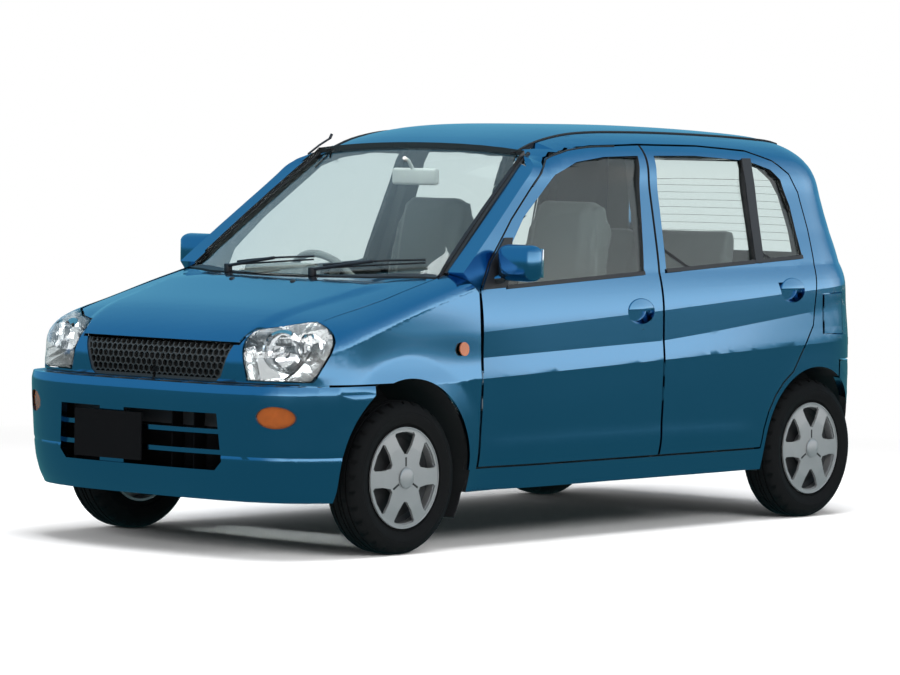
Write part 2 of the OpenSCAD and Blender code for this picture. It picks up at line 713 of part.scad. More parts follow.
// Tailgate with its glass
tail_z = [for (z = [600, 680, 780, 900, 1000, 1100, 1200, 1280, 1340, 1385, 1415, 1432]) high(z)];
module tail_layer(d0, d1) {
  ys = steps(flank(-590), flank(590), 18);
  grid_solid([for (y = ys) [for (z = tail_z) rear_pt(y, z, d0)]],
    [for (y = ys) [for (z = tail_z) rear_pt(y, z, d1)]]);
}
plate_bolt_z = 800;
plate_bolt_y = 105;
module tailgate() {
  color(paint) {
    difference() {
      intersection() {
        tail_layer(0, lid_t);
        rear_prism(rear(-1800), roof_rear - 10) polygon(tail_outline);
      }
      rear_prism(rear(-1800), rear(-1300)) polygon(tail_glass);
      both() translate([rear(-1800), plate_bolt_y, plate_bolt_z]) rotate([0, 90, 0]) cylinder(h = 400,
        r = 3.5);
    }
    both() translate([lid_hinge[0], lid_y, lid_hinge[1]]) difference() {
      union() {
        rotate([90, 0, 0]) cylinder(h = 60, r = 6, center = true);
        translate([-6, -30, -26]) cube([10, 60, 26]);
      }
      rotate([90, 0, 0]) cylinder(h = 70, r = 3 + pin_play, center = true);
    }
  }
}
module tailgate_glass() {
  color([0.3, 0.4, 0.42, 0.5]) intersection() {
    tail_layer(8, 8 + glass_t);
    rear_prism(rear(-1800), rear(-1300)) polygon(tail_glass);
  }
}
module tail_lamps() {
  color([0.6, 0.05, 0.06]) both() intersection() {
    side_layer(steps(rear(-1640), rear(-1500), 8), 0, 60, [560, crease_z, 680, 780, lamp_top_r, 950]);
    tail_lamp_region(0);
  }
}
rear_z = [235, 300, 420, 520, 600];
rear_a = [-90, -76, -62, -50, -40, -30, -20, -10, -4, 0, 4, 10, 20, 30, 40, 50, 62, 76, 90];
function rear_wrap(a, z, t) = [rear_start - (rear_len(z) - t) * bow(cos(a), 3.2),
  (side_half(z) - t) * bow(sin(a), 4), z];
module rear_bumper() {
  color(paint) {
    difference() {
      union() {
        grid_solid([for (a = rear_a) [for (z = rear_z) rear_wrap(a, z, 0)]],
          [for (a = rear_a) [for (z = rear_z) rear_wrap(a, z, bumper_t)]]);
        intersection() {
          translate([0, 0, 592]) linear_extrude(8) polygon([for (a = rear_a) let (p = rear_wrap(a, 600,
            4)) [p[0], p[1]]]);
          translate([tail_x, -900, 500]) cube([95, 1800, 200]);
        }
      }
      both() side_prism() wheel_hole(arch_rear);
      translate([quarter_end - shut_gap, -900, 0]) cube([400, 1800, 700]);
    }
    both() translate([tail_x + 20, stay_y - 30, 505]) cube([60, 60, 50]);
  }
}

// Floor, bulkhead, aprons, wheelhouses and strut towers
floor_z = 215;
floor_t = 25;
kick_x = -930;
rear_floor = 420;
house_y = flank(534);
fire_x = 740;
fire_top = 835;
rail_y = 385;
rail_top = 780;
king_low = [axle_f, 575, 190];
king_top = [axle_f, 480, 740];
king_tilt = atan((king_low[1] - king_top[1]) / (king_top[2] - king_low[2]));
king_len = norm(king_top - king_low);
rod_r = 12;
module on_kingpin() {
  translate(king_low) rotate([king_tilt, 0, 0]) children();
}
function hood_z(x, y) = hood_s(x) + curve(hood_roll_t, x) * pow(1 - pow(y / side_half(hood_s(x)), 3.2),
  1 / 2.6);
module hood_ears() {
  translate([bonnet_hinge[0], strap_y, bonnet_hinge[1]]) rotate([90, 0, 0]) cylinder(h = strap_w + 20,
    r = 6, center = true);
  for (s = [-1, 1]) translate([bonnet_hinge[0], strap_y + s * (strap_w / 2 + 6) - 4, bonnet_hinge[1]]) {
    translate([-10, 0, -34]) cube([39, 8, 42]);
    translate([fire_x + 1 - bonnet_hinge[0], 0, -80]) cube([16, 8, 60]);
  }
}
module floor_pan() {
  color(coated) translate([kick_x, -sill_y, floor_z]) cube([fire_x - kick_x, 2 * sill_y, floor_t]);
}
module rear_floor_pan() {
  color(coated) {
    translate([kick_x - 20, -sill_y, floor_z]) cube([20, 2 * sill_y, rear_floor - floor_z + 20]);
    translate([tail_x + 80, -480, rear_floor]) cube([200, 960, 20]);
    translate([rear(-1500), -house_y, rear_floor]) cube([kick_x - rear(-1500), 2 * house_y, 20]);
    translate([tail_x + 80, -480, rear_floor]) cube([24, 960, 170]);
    both() {
      translate([rear(-1500), house_y, rear_floor]) cube([kick_x - rear(-1500), 12, 200]);
      translate([rear(-1500), house_y, 608]) cube([kick_x - rear(-1500), 76, 12]);
    }
  }
}
module bulkhead() {
  color(coated) {
    translate([fire_x, -sill_y, floor_z]) cube([20, 2 * sill_y, fire_top - floor_z]);
    both() hood_ears();
  }
}
module engine_rails() {
  color(coated) {
    both() {
      translate([fire_x + 20, rail_y, 205]) cube([stay_x - fire_x - 20, 15, 375]);
      translate([fire_x + 20, rail_y, 560]) cube([front(1370) - fire_x - 20, 15, rail_top - 560]);
      translate([905, rail_y, rail_top - 18]) cube([front(1370) - 905, flank(640) - rail_y, 18]);
      translate([front(1395), rail_y, lamp_low - 12]) cube([105, flank(590) - rail_y, 12]);
      difference() {
        union() {
          translate([axle_f - 70, rail_y, 690]) cube([140, 150, 14]);
          on_kingpin() translate([0, 0, king_len - 60]) cylinder(h = 40, r = 26);
        }
        on_kingpin() translate([0, 0, king_len - 100]) cylinder(h = 140, r = rod_r + pin_play);
      }
    }
    translate([stay_x - 30, -rail_y, 440]) cube([30, 2 * rail_y, 140]);
  }
}
module front_subframe() {
  color(dark) {
    translate([axle_f - 110, -rail_y, 182]) cube([220, 2 * rail_y, 60]);
    both() {
      translate([axle_f - 24, rail_y, 182]) cube([48, 170, 18]);
      on_kingpin() difference() {
        translate([0, 0, -8]) cylinder(h = 22, r = 24);
        translate([0, 0, -20]) cylinder(h = 60, r = rod_r + pin_play);
      }
    }
  }
}
spindle_r = 14;
module knuckle_half() {
  on_kingpin() {
    translate([0, 0, -8]) cylinder(h = king_len - 20, r = rod_r);
    translate([0, 0, 22]) cylinder(h = king_len - 180, r = 20);
  }
  translate([axle_f, 545, axle_z]) rotate([-90, 0, 0]) cylinder(h = 30, r = 48);
  translate([axle_f, 560, axle_z]) rotate([-90, 0, 0]) cylinder(h = 96, r = spindle_r);
}
module knuckle_left() { color(dark) knuckle_half(); }
module knuckle_right() { color(dark) right_side() knuckle_half(); }
module rear_axle() {
  color(dark) {
    translate([axle_r, -548, axle_z]) rotate([-90, 0, 0]) cylinder(h = 1096, r = 30);
    both() {
      translate([axle_r, 530, axle_z]) rotate([-90, 0, 0]) cylinder(h = 126, r = spindle_r);
      translate([axle_r, 430, axle_z - 20]) cube([kick_x - 20 - axle_r, 44, 40]);
    }
  }
}
silencer_x = rear(-1480);
module exhaust() {
  color([0.5, 0.5, 0.5]) {
    translate([silencer_x, 190, 185]) rotate([0, 90, 0]) cylinder(h = 900 - silencer_x, r = 20);
    for (x = [-700, 400]) translate([x, 184, 190]) cube([16, 12, floor_z - 190]);
    translate([silencer_x, 190, 185]) sphere(r = 20);
    translate([silencer_x, 190, 185]) cylinder(h = 100, r = 20);
    translate([silencer_x, -60, 340]) rotate([-90, 0, 0]) cylinder(h = 500, r = 62);
    for (y = [-20, 380]) translate([silencer_x - 8, y, 390]) cube([16, 12, rear_floor - 390]);
  }
}
module engine() {
  color([0.35, 0.36, 0.38]) translate([front(1170), -340, 242]) cube([300, 640, 440]);
}

// Wheels: a turned tyre, a rim with its hub and a cover with six windows
tyre_r = tyre_d / 2;
rim_r = rim_d / 2;
module tyre_at(x, y) {
  half = tyre_w / 2;
  color(dark) translate([x, y, axle_z]) rotate([-90, 0, 0]) rotate_extrude($fn = 96)
    polygon([[rim_r, 22 - half], [rim_r + 14, 20 - half], [(rim_r + tyre_r) / 2, -half], [tyre_r - 26,
      6 - half],
      [tyre_r - 8, 20 - half], [tyre_r, 34 - half], [tyre_r, half - 34], [tyre_r - 8, half - 20],
      [tyre_r - 26, half - 6], [(rim_r + tyre_r) / 2, half], [rim_r + 14, half - 20], [rim_r, half - 22]]);
}
cover_z = tyre_w / 2 - 17;
hub_r = 62;
spokes = 6;
module wheel_body() {
  rotate_extrude($fn = 96) polygon([[rim_r - 9, 18 - tyre_w / 2], [rim_r, 18 - tyre_w / 2], [rim_r,
    tyre_w / 2 - 18],
    [rim_r - 9, tyre_w / 2 - 18]]);
  difference() {
    rotate_extrude($fn = 96) polygon([[0, cover_z + 4], [hub_r / 2, cover_z + 4], [110, cover_z + 2],
      [cover_d / 2 - 12, cover_z - 4],
      [cover_d / 2, cover_z + 2], [cover_d / 2, cover_z + 6], [cover_d / 2 - 12, cover_z + 6], [110,
        cover_z + 11], [30, cover_z + 13],
      [29, cover_z + 16], [0, cover_z + 17]]);
    for (i = [0 : spokes - 1]) rotate((i + 0.5) * 360 / spokes) translate([0, 0,
      cover_z - 20]) linear_extrude(60)
      polygon([[82, -7], [112, -32], [146, -51], [156, -47], [162, 0], [156, 47], [146, 51], [112, 32], [82, 7]]);
  }
  difference() {
    union() {
      translate([0, 0, -26]) cylinder(h = cover_z + 34, r = hub_r);
      translate([0, 0, 0]) cylinder(h = 8, r = rim_r - 6);
    }
    translate([0, 0, -30]) cylinder(h = 62, r = spindle_r + pin_play);
    for (i = [0 : 7]) rotate(i * 45) translate([108, 0, -5]) cylinder(h = 20, r = 18);
  }
}
module wheel_left(x) {
  color([0.75, 0.76, 0.78]) translate([x, wheel_y, axle_z]) rotate([-90, 0, 0]) wheel_body();
}
module tyre_fl() { tyre_at(axle_f, wheel_y); }
module tyre_fr() { tyre_at(axle_f, -wheel_y); }
module tyre_rl() { tyre_at(axle_r, wheel_y); }
module tyre_rr() { tyre_at(axle_r, -wheel_y); }
module wheel_fl() { wheel_left(axle_f); }
module wheel_fr() { right_side() wheel_left(axle_f); }
module wheel_rl() { wheel_left(axle_r); }
module wheel_rr() { right_side() wheel_left(axle_r); }

// Mirrors on the front corners of the door windows
mirror_at = [588, flank(775), 1003];
mirror_size = [88, 150, 130];
module mirror_half() {
  difference() {
    union() {
      hull() for (y = [-1, 1], z = [-1, 1]) translate(mirror_at + [0, y * (mirror_size[1] / 2 - 34),
        z * (mirror_size[2] / 2 - 30)])
        scale([1.3, 1, 0.9]) sphere(r = 33, $fn = 24);
      hull() {
        translate([606, flank(716), 945]) sphere(r = 16, $fn = 16);
        translate([622, flank(660), 938]) scale([2, 1, 1]) sphere(r = 18, $fn = 16);
      }
    }
    side_layer(steps(480, 720, 4), -0.3, 200, [780, 880, 950, 1050, 1150, 1250]);
  }
}
module mirror_left() { color(paint) mirror_half(); }
module mirror_right() { color(paint) right_side() mirror_half(); }

// Wipers that lie on the foot of the screen
module wipers() {
  color(dark) {
    intersection() {
      screen_layer(-24, -12);
      rear_prism(500, 1100) for (s = [-250, 180]) translate([s, 966]) rotate(4) square([330, 12]);
    }
    intersection() {
      screen_layer(-14, -0.4);
      rear_prism(500, 1100) for (s = [-210, 220]) translate([s, 972]) rotate(4) square([290, 5]);
    }
  }
}

// Cabin
helm_at = [352, -350, 850];
helm_tilt = 28;
column_r = 18;
dash_x = 560;
module dashboard() {
  color([0.25, 0.26, 0.28]) difference() {
    side_prism(-flank(600), flank(600)) polygon([[fire_x, 640], [dash_x + 60, 640], [dash_x, 740],
      [dash_x + 10, 850], [dash_x + 70, 884], [fire_x, 850]]);
    translate(helm_at) rotate([0, 90 + helm_tilt, 0]) cylinder(h = 330, r = column_r + pin_play);
  }
}
module steering_wheel() {
  color(dark) translate(helm_at) rotate([0, 90 + helm_tilt, 0]) {
    rotate_extrude($fn = 72) translate([helm_d / 2 - helm_rim / 2, 0]) circle(d = helm_rim, $fn = 32);
    cylinder(h = 40, r = 62);
    for (a = [40, 140, 270]) rotate(a) translate([50, -18, 4]) cube([helm_d / 2 - 62, 36, 12]);
    translate([0, 0, 20]) cylinder(h = 296, r = column_r);
  }
}
seat_y = 330;
module seat_block() {
  side_prism(-seat_w / 2, seat_w / 2) polygon([[430, floor_z + floor_t + 100], [440, seat_h - 30],
    [410, seat_h], [-30, seat_h - 40],
    [-190, 1120], [-210, 1230], [-270, 1236], [-300, 1120], [-140, 480], [-60, floor_z + floor_t + 100]]);
  translate([0, -seat_w / 2 + 30, floor_z + floor_t]) cube([380, seat_w - 60, 110]);
}
module front_seats() {
  color([0.55, 0.56, 0.58]) for (s = [-1, 1]) translate([0, s * seat_y, 0]) seat_block();
}
module rear_seat() {
  color([0.55, 0.56, 0.58]) side_prism(-flank(528), flank(528)) polygon([[-440, floor_z + floor_t],
    [-430, seat_h - 40], [-470, seat_h - 20], [-860, seat_h - 60],
    [-1010, 1120], [-1085, 1120], [-985, rear_floor + 21], [kick_x, rear_floor + 21], [kick_x + 2,
      floor_z + floor_t]]);
}
module inner_mirror() {
  color([0.7, 0.71, 0.72]) {
    translate([250, -110, 1262]) cube([22, 220, 62]);
    difference() {
      translate([260, -10, 1290]) rotate([0, 60, 0]) cylinder(h = 160, r = 8, $fn = 24);
      screen_layer(-400, glass_t * 1.9 + 0.2);
    }
  }
}

floor_pan();
rear_floor_pan();
bulkhead();
engine_rails();
side_frame_left();
side_frame_right();
roof_panel();
fender_left();
fender_right();
cowl_panel();
front_bumper();
grille();
front_plate();
headlamps();
indicator_lamps();
windscreen();
wipers();
rear_bumper();
tail_lamps();
bonnet();
tailgate();
tailgate_glass();
fuel_flap();
door_fl();
door_fr();
door_rl();
door_rr();
glass_fl();
glass_fr();
glass_rl();
glass_rr();
mirror_left();
mirror_right();
dashboard();
steering_wheel();
front_seats();
rear_seat();
inner_mirror();
engine();
exhaust();
front_subframe();
knuckle_left();
knuckle_right();
rear_axle();
tyre_fl();
tyre_fr();
tyre_rl();
tyre_rr();
wheel_fl();
wheel_fr();
wheel_rl();
wheel_rr();
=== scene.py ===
"""Small five-door hatchback in a pale studio.

The frame holds the car's solids. The pieces here give its panels their full surface, and its lamps, glass,
tyres, seats and trim the finish that the eye reads. Lengths in the body's formulas are millimetres.
"""

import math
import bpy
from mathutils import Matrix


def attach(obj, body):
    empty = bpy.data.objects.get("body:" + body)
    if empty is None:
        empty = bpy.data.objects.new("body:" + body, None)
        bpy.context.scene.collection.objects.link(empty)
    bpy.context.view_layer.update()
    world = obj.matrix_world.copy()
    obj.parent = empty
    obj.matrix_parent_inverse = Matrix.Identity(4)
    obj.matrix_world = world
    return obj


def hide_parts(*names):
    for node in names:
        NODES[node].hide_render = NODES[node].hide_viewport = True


bl_info = {
    "name": "Kei hatchback",
    "version": (1, 0, 0),
    "blender": (4, 5, 0),
    "location": "View3D > Sidebar > Kei hatchback",
    "description": "Dresses the frame of a small five-door hatchback",
    "category": "Object",
}

import bmesh
import bpy
import numpy as np
from bpy.props import FloatProperty, FloatVectorProperty, PointerProperty
from mathutils import Matrix, Vector

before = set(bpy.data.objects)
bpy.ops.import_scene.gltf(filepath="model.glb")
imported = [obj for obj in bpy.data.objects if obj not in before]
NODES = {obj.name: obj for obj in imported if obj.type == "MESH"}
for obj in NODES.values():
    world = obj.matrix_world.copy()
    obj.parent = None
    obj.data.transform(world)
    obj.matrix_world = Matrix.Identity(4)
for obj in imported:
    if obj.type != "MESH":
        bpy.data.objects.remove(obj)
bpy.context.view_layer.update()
MM = 0.001
MIRROR = Matrix.Scale(-1.0, 4, (0.0, 1.0, 0.0))
LEFT_RIGHT = ((1.0, "l"), (-1.0, "r"))


# Driving sizes of the body, in millimetres

HALF_W = 737.5
NOSE_X = 1697.5
TAIL_X = -1697.5
AXLE_F = 1085.5
AXLE_R = -1254.5
AXLE_Z = 266.0
WHEEL_Y = 640.0
CREASE_Z = 624.0
CREASE_SLOPE = 0.0385
ROOF_H = 1500.0
SCREEN_TOP_X = 238.0
REAR_START = -1200.0
NOSE_START = AXLE_F + 185.0
NOSE_LEN = NOSE_X - 92.0 - NOSE_START
WHEELS = [("fl", AXLE_F, 1.0), ("fr", AXLE_F, -1.0), ("rl", AXLE_R, 1.0), ("rr", AXLE_R, -1.0)]
SCREEN_FOOT = (954.0, 955.0)
BELT_Z = 925.0
BELT_FOOT = 932.0
BELT_SLOPE = 0.0512
HANDLES = {"f": (-171.0, 818.0), "r": (-1095.0, 880.0)}
SCREEN_RAKE = 1.596


# The body's surfaces, as in the solids: smooth tables of [place, value]

BELOW_CREASE = [[180, 46], [250, 29], [330, 15], [480, 5], [CREASE_Z, 0]]
ABOVE_CREASE = [[CREASE_Z, 0], [680, 7], [780, 13], [880, 22], [950, 33], [1050, 56], [1200, 97],
                [1330, 139], [1450, 185]]
ROOF_LINE = [[-1500, -60], [-1395, -38], [-1200, -20], [-800, -4], [-400, 0], [-94, -10], [100, -45],
             [242, -98], [400, -192], [770, -425]]
ROOF_ROLL = [[-1500, 200], [-200, 200], [242, 100], [770, 60]]
REAR_INSET = [[230, 57], [300, 17], [420, 0], [600, 7], [720, 25], [900, 47], [1000, 65], [1200, 117],
              [1300, 145], [1480, 197]]
HOOD_LINE = [[600, 1040], [850, 975], [1000, 938], [1200, 888], [1400, 840], [1500, 812], [1600, 788]]
HOOD_ROLL = [[700, 100], [1000, 100], [1600, 140]]
SCREEN_BOW = [[900, 158], [955, 150], [1380, 55], [1450, 50]]
BUMPER_IN_X = [[195, 45], [230, 30], [300, 12], [420, 4], [562, 0], [590, 8]]
BUMPER_IN_Y = [[195, 44], [240, 27], [330, 13], [480, 4], [562, 0], [590, 3]]


def curve(table, x):
    """Smooth value at x through a table of [place, value] pairs."""
    places, values = np.array(table, dtype=float).T
    last = len(places) - 1
    before = np.maximum(np.arange(last + 1) - 1, 0)
    after = np.minimum(np.arange(last + 1) + 1, last)
    slopes = (values[after] - values[before]) / (places[after] - places[before])
    i = np.clip(np.searchsorted(places, x, side="right") - 1, 0, last - 1)
    h = places[i + 1] - places[i]
    s = np.clip((x - places[i]) / h, 0.0, 1.0)
    a = s * s * (3.0 - 2.0 * s)
    bend = slopes[i] * s * (1.0 - s) ** 2 - slopes[i + 1] * s * s * (1.0 - s)
    return values[i] * (1.0 - a) + values[i + 1] * a + h * bend


def ramp(low, high, x):
    """0 below low, 1 above high and smooth between."""
    s = np.clip((x - low) / (high - low), 0.0, 1.0)
    return s * s * (3.0 - 2.0 * s)


def side_half(z):
    return HALF_W - np.where(z < CREASE_Z, curve(BELOW_CREASE, z), curve(ABOVE_CREASE, z))


def fade(z):
    return np.clip((z - 300.0) / 200.0, 0.0, 1.0) * np.clip((1100.0 - z) / 300.0, 0.0, 1.0)


def level(x, z, share):
    """Height before the belt line's rise towards the tail."""
    flat = z
    for _ in range(8):
        flat = z + CREASE_SLOPE * x * share(flat)
    return flat


def lower_of(z, shoulder):
    """The lower of two heights, with the corner between them rounded."""
    return 0.5 * (z + shoulder - np.hypot(z - shoulder, 50.0))


def cabin_form(p):
    x, y, z = p
    z = level(x, z, fade)
    xr = np.minimum(x, SCREEN_TOP_X)
    roll = curve(ROOF_ROLL, xr)
    shoulder = ROOF_H + curve(ROOF_LINE, xr) - roll
    tail = np.maximum(0.0, (REAR_START - x) / (REAR_START - TAIL_X - curve(REAR_INSET, z)))
    over = np.maximum(0.0, (z - shoulder) / roll)
    return (np.abs(y) / side_half(lower_of(z, shoulder))) ** 4 + over ** 2.5 + tail ** 3.2 - 1.0


def tail_form(p):
    x, y, z = p
    at = -1420.0
    roll = curve(ROOF_ROLL, at)
    shoulder = ROOF_H + curve(ROOF_LINE, at) - roll
    tail = np.maximum(0.0, (REAR_START - x) / (REAR_START - TAIL_X - curve(REAR_INSET, z)))
    over = np.maximum(0.0, (z - shoulder) / roll)
    return (np.abs(y) / side_half(np.minimum(z, shoulder))) ** 4 + over ** 2.5 + tail ** 3.2 - 1.0


def nose_form(p):
    x, y, z = p
    roll = curve(HOOD_ROLL, x)
    shoulder = curve(HOOD_LINE, x) - roll

    def share(flat):
        above = np.clip((shoulder - flat) / (shoulder - CREASE_Z), 0.0, 1.0)
        return np.where(flat <= CREASE_Z, fade(flat), above)

    z = level(x, z, share)
    front = np.maximum(0.0, (x - NOSE_START) / NOSE_LEN)
    over = np.maximum(0.0, (z - shoulder) / roll)
    return (np.abs(y) / side_half(np.minimum(z, shoulder))) ** 3.2 + over ** 2.6 + front ** 3.2 - 1.0


def front_bumper_form(p):
    x, y, z = p
    front = np.maximum(0.0, x - NOSE_START) / (NOSE_X - NOSE_START - curve(BUMPER_IN_X, z))
    return front ** 3.2 + (np.abs(y) / (HALF_W - curve(BUMPER_IN_Y, z))) ** 3.2 - 1.0


def front_form(p):
    """The bumper below its top edge and the nose above it."""
    return np.where(p[2] < 592.0, front_bumper_form(p), nose_form(p))


def rear_bumper_form(p):
    x, y, z = p
    tail = np.maximum(0.0, (REAR_START - x) / (REAR_START - TAIL_X - curve(REAR_INSET, z)))
    return tail ** 3.2 + (np.abs(y) / side_half(z)) ** 4 - 1.0


def unit_slope(form, p):
    """Outward normal of a form."""
    slope = slope_of(form, p)
    return slope / np.maximum(np.linalg.norm(slope, axis=0), 1e-9)


def slope_of(form, p):
    """Gradient of a form, by small steps."""
    step = 0.5
    rows = []
    for axis in range(3):
        shift = np.zeros((3, 1))
        shift[axis] = step
        rows.append((form(p + shift) - form(p - shift)) / (2.0 * step))
    return np.array(rows)


# Relief that the pressings carry beyond the plain surface, along the outward normal

ARCHES = [(AXLE_F + 4.0, 280.0, 330.0, 402.0), (AXLE_R - 3.0, 274.0, 308.0, 372.0)]
SHELF_TOP = [[-1500, 764], [-1222, 747], [-591, 708], [-295, 694], [720, 697]]
SHOULDER_FOLD = [[-1500, 846], [-303, 805], [714, 787]]
LOWER_FOLD = [[-900, 352], [-293, 362], [684, 358]]
RELIEF_TOP = 950.0
SHELF_IN = 6.0
BAND_IN = 1.5
UPPER_IN = (7.2, 18.3)
LOWER_OUT = 4.0
ARCH_PINCH = (7.0, 1.5)
ARCH_SPREAD = 190.0
SIDE_FOLDS = [[(-293, CREASE_Z), (720, CREASE_Z)], [(-1500, CREASE_Z), (-293, CREASE_Z)],
              [(-295, 694), (720, 697)], [(-1222, 747), (-591, 708)], [(-591, 708), (-295, 694)],
              [(-303, 805), (714, 787)], [(-1500, 846), (-303, 805)]]


def side_relief(p):
    """Shelf over the crease, shoulder fold, lower fold and wheel arch pinch of the sides."""
    x, _, z = p
    flat = level(x, z, fade)
    shelf = np.interp(x, *zip(*SHELF_TOP))
    fold = np.interp(x, *zip(*SHOULDER_FOLD))
    rise = np.clip((flat - CREASE_Z) / (shelf - CREASE_Z), 0.0, 1.0)
    band_share = np.clip((flat - shelf) / (fold - shelf), 0.0, 1.0)
    upper = np.clip((flat - fold) / (RELIEF_TOP - fold), 0.0, 1.0)
    want = SHELF_IN * rise + BAND_IN * band_share + (UPPER_IN[0] + UPPER_IN[1] * upper) * upper
    band = (flat > CREASE_Z) & (flat < RELIEF_TOP)
    out = np.where(band, curve(ABOVE_CREASE, flat) - want, 0.0)
    low = curve(LOWER_FOLD, x)
    ends = ramp(-960.0, -760.0, x) * ramp(760.0, 560.0, x)
    out = out + LOWER_OUT * ends * ramp(low + 46.0, low - 14.0, z) * ramp(250.0, 335.0, z)
    return out + arch_relief(x, z)


def arch_relief(x, z):
    """Pinch of the side round the wheel arches, which leaves their lips standing."""
    out = np.zeros_like(x)
    for (ax, az, lip, edge), pinch in zip(ARCHES, ARCH_PINCH):
        r = np.hypot(x - ax, z - az)
        inner = np.clip((edge - r) / (edge - lip), 0.0, 1.0)
        outer = np.exp(-((r - edge) / ARCH_SPREAD) ** 2)
        out = out - pinch * np.where(r < edge, 1.0 - inner, outer)
    return out


def fender_relief(p):
    return arch_relief(p[0], p[2]) * ramp(NOSE_START + 210.0, NOSE_START - 20.0, p[0])


def bonnet_relief(p):
    """Raised middle of the bonnet between its two long folds."""
    x, y, _ = p
    fold = np.interp(x, [950.0, 1520.0], [520.0, 415.0])
    return 9.0 * ramp(fold + 26.0, fold - 26.0, np.abs(y)) * ramp(940.0, 1060.0, x) - 4.0


def bumper_relief(p):
    """Fine groove across the bumper."""
    return -3.0 * np.exp(-((p[2] - 352.0) / 5.0) ** 2)


def plain_relief(p):
    return np.zeros_like(p[0])


# Shader groups and materials

def node_of(tree, kind, **sockets):
    """New shader node with its unlinked inputs set."""
    made = tree.nodes.new(kind)
    for key, value in sockets.items():
        made.inputs[key.replace("_", " ")].default_value = value
    return made


def new_group(name, inputs, outputs):
    """Empty node group with named sockets, and its two end nodes."""
    tree = bpy.data.node_groups.new(name, "ShaderNodeTree")
    for label, kind, value in inputs:
        socket = tree.interface.new_socket(label, in_out="INPUT", socket_type=kind)
        socket.default_value = value
    for label, kind in outputs:
        tree.interface.new_socket(label, in_out="OUTPUT", socket_type=kind)
    return tree, tree.nodes.new("NodeGroupInput"), tree.nodes.new("NodeGroupOutput")


def mottle_group():
    """Colour and roughness that drift a little over a surface, with a fine grain for bump."""
    tree, start, end = new_group(
        "surface_drift",
        [("Colour", "NodeSocketColor", (0.5, 0.5, 0.5, 1.0)), ("Drift", "NodeSocketFloat", 0.1),
         ("Roughness", "NodeSocketFloat", 0.4), ("Patch scale", "NodeSocketFloat", 6.0),
         ("Grain scale", "NodeSocketFloat", 300.0)],
        [("Colour", "NodeSocketColor"), ("Roughness", "NodeSocketFloat"), ("Grain", "NodeSocketFloat")])
    place = tree.nodes.new("ShaderNodeTexCoord")
    patch = node_of(tree, "ShaderNodeTexNoise", Detail=3.0)
    grain = node_of(tree, "ShaderNodeTexNoise", Detail=2.0)
    spread = node_of(tree, "ShaderNodeMapRange")
    spread.inputs["To Min"].default_value = -1.0
    amount = tree.nodes.new("ShaderNodeMath")
    amount.operation = "MULTIPLY"
    bright = tree.nodes.new("ShaderNodeMath")
    bright.operation = "ADD"
    bright.inputs[1].default_value = 1.0
    tint = node_of(tree, "ShaderNodeHueSaturation")
    rough = tree.nodes.new("ShaderNodeMath")
    rough.operation = "MULTIPLY"
    link = tree.links.new
    link(place.outputs["Object"], patch.inputs["Vector"])
    link(place.outputs["Object"], grain.inputs["Vector"])
    link(start.outputs["Patch scale"], patch.inputs["Scale"])
    link(start.outputs["Grain scale"], grain.inputs["Scale"])
    link(patch.outputs["Fac"], spread.inputs["Value"])
    link(spread.outputs["Result"], amount.inputs[0])
    link(start.outputs["Drift"], amount.inputs[1])
    link(amount.outputs["Value"], bright.inputs[0])
    link(start.outputs["Colour"], tint.inputs["Color"])
    link(bright.outputs["Value"], tint.inputs["Value"])
    link(tint.outputs["Color"], end.inputs["Colour"])
    link(start.outputs["Roughness"], rough.inputs[0])
    link(bright.outputs["Value"], rough.inputs[1])
    link(rough.outputs["Value"], end.inputs["Roughness"])
    link(grain.outputs["Fac"], end.inputs["Grain"])
    return tree


def finish(name, colour, roughness, drift=0.08, patch=6.0, grain=300.0, bump=0.0, bump_depth=0.0005,
           **shader):
    """Material whose colour and roughness drift over the surface, with plain values for the rest."""
    found = bpy.data.materials.get(name)
    if found:
        return found
    material = bpy.data.materials.new(name)
    material.use_nodes = True
    tree = material.node_tree
    bsdf = tree.nodes["Principled BSDF"]
    group = tree.nodes.new("ShaderNodeGroup")
    group.node_tree = bpy.data.node_groups.get("surface_drift") or mottle_group()
    group.inputs["Colour"].default_value = (*colour, 1.0)
    group.inputs["Drift"].default_value = drift
    group.inputs["Roughness"].default_value = roughness
    group.inputs["Patch scale"].default_value = patch
    group.inputs["Grain scale"].default_value = grain
    tree.links.new(group.outputs["Colour"], bsdf.inputs["Base Color"])
    tree.links.new(group.outputs["Roughness"], bsdf.inputs["Roughness"])
    if bump:
        relief = node_of(tree, "ShaderNodeBump", Strength=bump, Distance=bump_depth)
        tree.links.new(group.outputs["Grain"], relief.inputs["Height"])
        tree.links.new(relief.outputs["Normal"], bsdf.inputs["Normal"])
    for key, value in shader.items():
        bsdf.inputs[key.replace("_", " ")].default_value = value
    return material


def paint():
    """Blue metallic paint: flakes under a clear coat."""
    found = bpy.data.materials.get("blue_metallic")
    if found:
        return found
    look = bpy.context.scene.kei_paint
    material = finish("blue_metallic", look.colour, look.roughness, drift=0.03, patch=3.0,
                      Metallic=look.metallic, Coat_Weight=1.0, Coat_Roughness=0.03, Coat_IOR=1.5,
                      Specular_IOR_Level=0.3)
    tree = material.node_tree
    bsdf = tree.nodes["Principled BSDF"]
    place = tree.nodes.new("ShaderNodeTexCoord")
    flakes = node_of(tree, "ShaderNodeTexVoronoi", Scale=look.flake_scale)
    relief = node_of(tree, "ShaderNodeBump", Strength=look.flake_depth, Distance=0.0004)
    tree.links.new(place.outputs["Object"], flakes.inputs["Vector"])
    tree.links.new(flakes.outputs["Color"], relief.inputs["Height"])
    tree.links.new(relief.outputs["Normal"], bsdf.inputs["Normal"])
    return material


